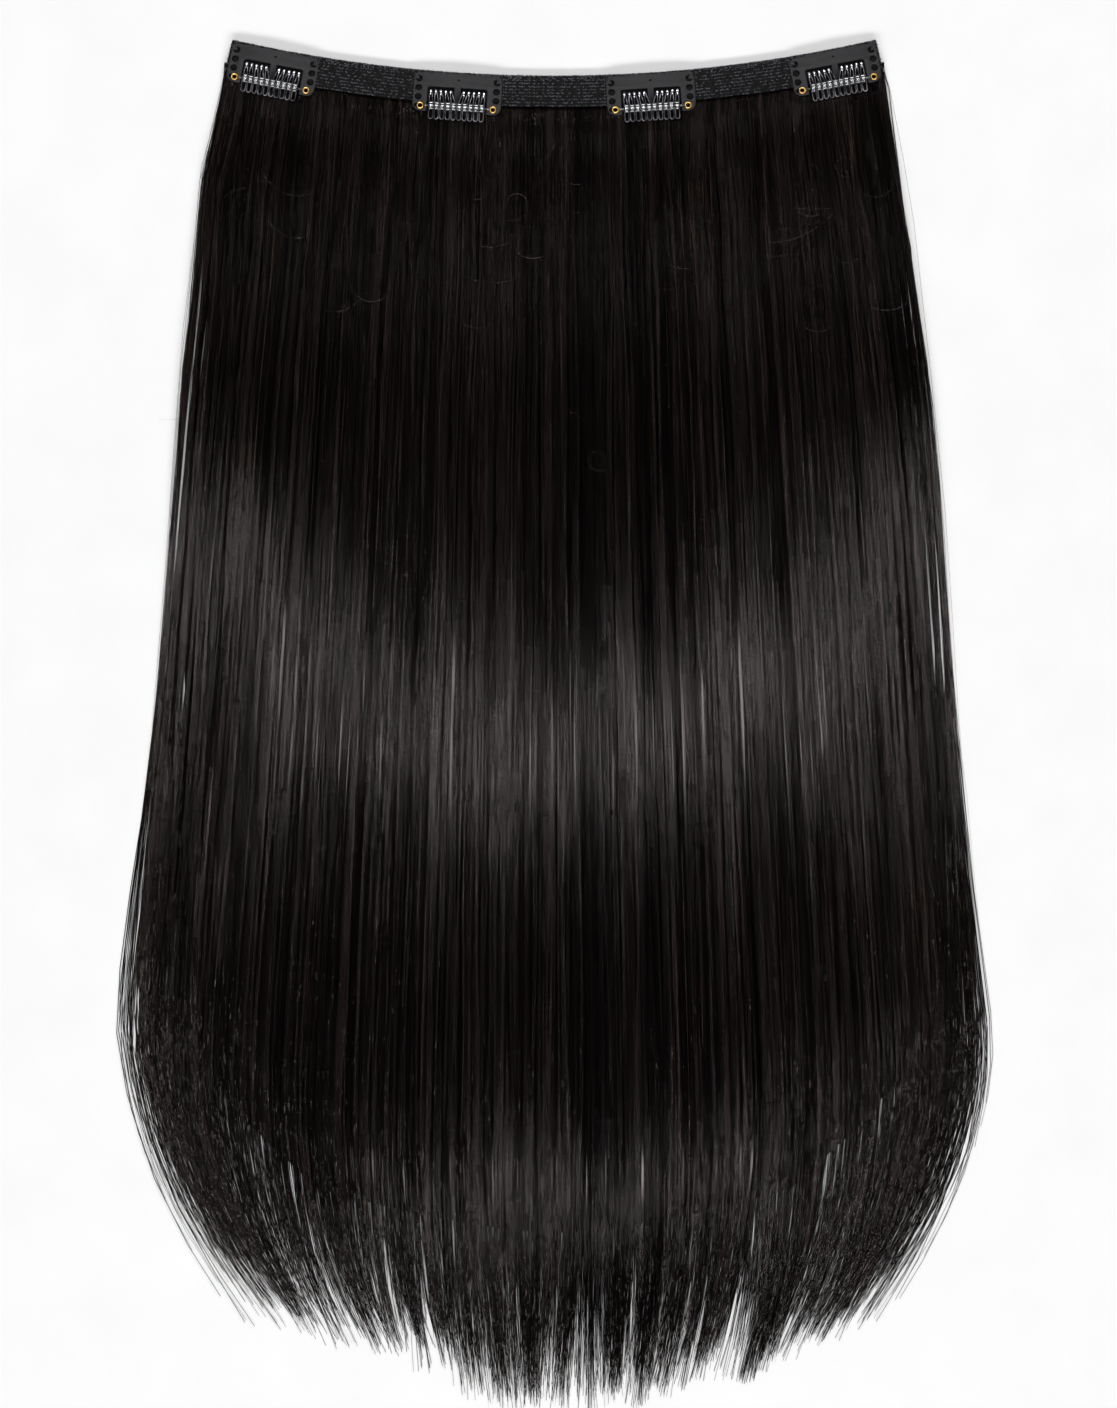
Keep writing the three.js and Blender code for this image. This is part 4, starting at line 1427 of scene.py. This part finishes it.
    def eyelet(self) -> bpy.types.Object:
        """Rolls one eyelet: a barrel with its flange curled over."""
        high = self.thickness + 0.1 + 0.02
        middle = (self.bore + self.flange) / 2
        half = (self.flange - self.bore) / 2
        roll = [
            (middle - half * math.cos(a), high + 0.14 + 0.28 * math.sin(a))
            for a in np.radians(range(0, 181, 20))
        ]
        section = [(self.bore, 0.06), *roll, (self.flange - 0.05, high + 0.02), (self.barrel, high)]
        section += [(self.barrel, 0.06)]
        profile = [(radius, 0.0, height) for radius, height in section]
        piece = spun_section("eyelet", profile, (0, 0, 0), 2 * math.pi, 28)
        shade_by_angle(piece, 45)
        return piece

    def stitches(self) -> bpy.types.Object:
        """Sewing thread through the top holes, over the plate's edge and into the tape."""
        rng = np.random.default_rng(self.thread_seed)
        hole = self.width / 2 - self.hole_inset
        edge = self.width / 2
        high = self.hole_heights[-1]
        paths = []
        for side in (-1, 1):
            for turn in (0, 26, 52, 78):
                angle = math.radians(turn + rng.normal(0, 4))
                # Each stitch goes up through the hole and down just outside the rounded corner.
                start = np.array([hole - 0.25 * math.cos(angle), high - 0.3 * math.sin(angle)])
                far = 2.55 if turn < 60 else 2.85
                end = np.array([hole + far * math.cos(angle), high + far * math.sin(angle)])
                end = np.minimum(end, [edge + 0.5, self.top + 0.28])
                path = []
                for share, up in self.thread_path:
                    spot = start + (end - start) * share
                    path.append((side * spot[0], spot[1], up + rng.normal(0, 0.02)))
                paths.append(path)
        piece = wire_mesh("stitches", paths, self.thread_radius, False, 2)
        shade_by_angle(piece, 60)
        return piece


class ExtensionDresser:
    """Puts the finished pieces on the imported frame."""

    def __init__(self) -> None:
        """Makes the finishes once, for all the pieces that wear them."""
        self.hair = HairFinish().build()
        self.knit = KnitFinish().build()
        self.enamel = EnamelFinish().build()
        self.wire = SPRING_WIRE.build()
        self.tip = POLISHED_STEEL.build()
        self.silicone = SiliconeFinish().build()
        self.brass = ROLLED_BRASS.build()
        self.thread = SEWING_THREAD.build()

    def fit(
        self,
        piece: bpy.types.Object,
        finish: bpy.types.Material,
        body: str,
        replaced: Sequence[str],
    ) -> None:
        """Dresses a piece and fixes it to its body.

        Args:
            piece: The piece, in place.
            finish: Its material.
            body: The body that it rides on.
            replaced: The CAD nodes that it stands for.
        """
        piece.data.name = piece.name
        piece.data.materials.clear()
        piece.data.materials.append(finish)
        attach(piece, body)
        if replaced:
            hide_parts(*replaced)
        piece.data.calc_loop_triangles()
        LOG.info("%s: %d triangles on %s", piece.name, len(piece.data.loop_triangles), body)

    def dress_tape(self, tape: FoldedTape, joints: Sequence[dict]) -> None:
        """Puts on the tape with its relief and end stitches.

        Args:
            tape: The tape's sizes and parts.
            joints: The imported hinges, which say where the clips lie.
        """
        body = Body.HAIRPIECE.value
        still = Matrix.Identity(4)
        hinges = [Vector(joint["pos_m"]) / MILLIMETRE for joint in joints]
        clips = [math.atan2(hinge.x, tape.arc.centre_y - hinge.y) for hinge in hinges]
        cloth, relief, whip = tape.tape(), tape.relief(clips), tape.end_stitches()
        for master, name, finish in (
            (cloth, "band_tape", self.knit),
            (relief, "band_knit", self.knit),
            (whip, "band_end_stitches", self.thread),
        ):
            piece = placed_copy(master, name, still)
            self.fit(piece, finish, body, ["band"])
            discard(master)

    def dress_hair(self, fall: HairFall) -> None:
        """Puts on the fall, layer by layer."""
        pieces = [fall.mat(), *(fall.layer(n) for n in range(len(fall.layers))), fall.flyaways()]
        for piece in pieces:
            self.fit(piece, self.hair, Body.HAIRPIECE.value, ["hair"])

    def dress_clips(self, clip: SnapClip, joints: Sequence[dict]) -> list[bpy.types.Object]:
        """Puts a clip at each hinge.

        Args:
            clip: The clip's sizes and parts.
            joints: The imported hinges, which give each clip's place and direction.

        Returns:
            All the clips' pieces.
        """
        pieces = []
        plate, comb, tips = clip.plate(), clip.comb(), clip.tips()
        grip, eyelet, stitches = clip.grip(), clip.eyelet(), clip.stitches()
        place = clip.width / 2 - clip.eyelet_inset
        base = Body.HAIRPIECE.value
        for number, joint in enumerate(joints, 1):
            hinge = Vector(joint["pos_m"])
            across = Vector(joint["axis"]).normalized()
            up = Vector((0, 0, 1))
            seat = Matrix.Translation((hinge.x, hinge.y, clip.seat * MILLIMETRE))
            turn = Matrix((across, up.cross(across), up)).transposed().to_4x4()
            spot = seat @ turn
            comb_body = Body.COMB.value.format(number)
            node = f"clip_{number}_"
            for master, part, finish, body, slot, replaced in (
                (plate, "plate", self.enamel, base, Slot.CLIP_METAL, ["frame"]),
                (comb, "teeth", self.wire, comb_body, Slot.CLIP_METAL, ["comb"]),
                (tips, "tips", self.tip, comb_body, Slot.CLIP_METAL, ["comb"]),
                (grip, "silicone", self.silicone, comb_body, Slot.SILICONE, ["grip"]),
                (stitches, "stitches", self.thread, base, Slot.BAND, []),
            ):
                piece = placed_copy(master, node + part, spot)
                self.fit(piece, finish, body, [node + part_name for part_name in replaced])
                pieces.append(piece)
            for side, name in ((-1, "left"), (1, "right")):
                shift = Matrix.Translation((side * place * MILLIMETRE, 0, 0))
                piece = placed_copy(eyelet, f"{node}ring_{name}", spot @ shift)
                self.fit(piece, self.brass, base, [f"{node}eyelet_{name}"])
                pieces.append(piece)
        for master in (plate, comb, tips, grip, eyelet, stitches):
            discard(master)
        return pieces


# The studio


@dataclass(frozen=True)
class Softbox:
    """One soft light above the floor."""

    name: str
    place: tuple[float, float, float]
    size: tuple[float, float]
    power: float
    aim: tuple[float, float, float] | None = None
    shaded: bool = False  # flagged off from all but the clips

    def hang(self, clips: bpy.types.Collection) -> None:
        """Hangs the light, facing straight down or at its aim.

        Args:
            clips: The pieces that a shaded light still reaches.
        """
        light = bpy.data.lights.new(self.name, "AREA")
        light.shape = "RECTANGLE"
        light.size, light.size_y = self.size
        light.energy = self.power
        lamp = bpy.data.objects.new(self.name, light)
        lamp.location = self.place
        if self.aim is not None:
            direction = Vector(self.aim) - Vector(self.place)
            lamp.rotation_euler = direction.to_track_quat("-Z", "Y").to_euler()
        if self.shaded:
            lamp.light_linking.receiver_collection = clips
        bpy.context.scene.collection.objects.link(lamp)


@dataclass(frozen=True)
class Studio:
    """A white floor under soft lights, seen from straight above."""

    photo_pixels: tuple[int, int] = (1117, 1408)
    photo_scale: float = 0.3636  # millimetres per pixel
    middle: tuple[float, float] = (1.6, 5.5)
    camera_height: float = 1.5
    subject_height: float = 0.004
    floor_depth: float = -0.0002  # clear of the pieces that lie on it
    floor_white: str = "#f7f7f7"
    surround: float = 0.019
    softboxes: tuple[Softbox, ...] = (
        Softbox("softbox_middle", (0.0, -0.01, 2.5), (0.8, 0.14), 7.0),
        Softbox("softbox_lower", (0.0, -0.6, 2.5), (0.8, 0.1), 5.4),
        Softbox("softbox_roots", (0.05, 0.54, 2.5), (0.5, 0.2), 0.9),
        Softbox("softbox_clips", (0.0, 0.62, 2.5), (2.4, 0.16), 16.0, shaded=True),
        Softbox("floor_light_front", (0.0, -1.8, 1.7), (2.6, 0.5), 43.6, (0.0, -0.1, 0.0)),
        Softbox("floor_light_back", (0.0, 1.8, 1.7), (2.6, 0.5), 43.6, (0.0, 0.1, 0.0)),
    )

    def lay_floor(self) -> None:
        """Lays a wide pale floor with a faint grain."""
        deselect_all()
        bpy.ops.mesh.primitive_circle_add(vertices=96, radius=9.0, fill_type="NGON")
        floor = bpy.context.object
        floor.name = "floor"
        points = points_of(floor.data)
        points[:, 2] = self.floor_depth
        set_points(floor.data, points)
        material, tree, shader = blank_finish("pale_studio_paper")
        speck = grain(tree, (30.0, 30.0, 30.0), 3.0)
        ramp = add_node(tree, "ShaderNodeValToRGB", inputs={"Fac": speck.outputs["Fac"]})
        set_ramp(ramp, [(0.3, "#f4f4f4"), (0.7, self.floor_white)])
        tree.links.new(ramp.outputs["Color"], shader.inputs["Base Color"])
        shader.inputs["Roughness"].default_value = 0.95
        shader.inputs["Specular IOR Level"].default_value = 0.1
        floor.data.materials.append(material)

    def light_world(self) -> None:
        """A dim surround, which looks pale to the camera alone."""
        world = bpy.data.worlds.new("surround")
        bpy.context.scene.world = world
        world.use_nodes = True
        tree = world.node_tree
        tree.nodes.clear()
        path = add_node(tree, "ShaderNodeLightPath")
        white, pale = linear("#ffffff"), linear(self.floor_white)
        dim = add_node(tree, "ShaderNodeBackground", inputs={"Color": white, "Strength": self.surround})
        seen = add_node(tree, "ShaderNodeBackground", inputs={"Color": pale, "Strength": 1.0})
        mix = add_node(
            tree,
            "ShaderNodeMixShader",
            inputs={0: path.outputs["Is Camera Ray"], 1: dim.outputs[0], 2: seen.outputs[0]},
        )
        add_node(tree, "ShaderNodeOutputWorld", inputs={"Surface": mix.outputs[0]})

    def place_camera(self) -> None:
        """Puts the camera straight above, framing the photograph's field."""
        data = bpy.data.cameras.new("camera")
        data.sensor_fit = "VERTICAL"
        data.sensor_height = 36.0
        tall = self.photo_pixels[1] * self.photo_scale * MILLIMETRE
        data.lens = data.sensor_height * (self.camera_height - self.subject_height) / tall
        data.clip_end = 60.0
        camera = bpy.data.objects.new("camera", data)
        camera.location = (self.middle[0] * MILLIMETRE, self.middle[1] * MILLIMETRE, self.camera_height)
        bpy.context.scene.collection.objects.link(camera)
        bpy.context.scene.camera = camera

    def build(self, clips: bpy.types.Collection) -> None:
        """Sets up the studio.

        Args:
            clips: The pieces that have a light of their own.
        """
        self.place_camera()
        self.lay_floor()
        self.light_world()
        for softbox in self.softboxes:
            softbox.hang(clips)
        bpy.context.scene.view_settings.view_transform = "Standard"


def corners(box: Sequence) -> list[list[float]]:
    """A box's two corners as plain lists."""
    return [[float(number) for number in corner] for corner in box]


def main() -> None:
    """Builds the studio and every piece, in order."""
    logging.basicConfig(level=logging.INFO, format="%(name)s: %(message)s")
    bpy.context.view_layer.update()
    deselect_all()
    clips = bpy.data.collections.new("clips")
    Studio().build(clips)
    dresser = ExtensionDresser()
    dresser.dress_hair(HairFall())
    dresser.dress_tape(FoldedTape(), frame["joints"])
    for piece in dresser.dress_clips(SnapClip(), frame["joints"]):
        clips.objects.link(piece)


if __name__ == "__main__":
    main()
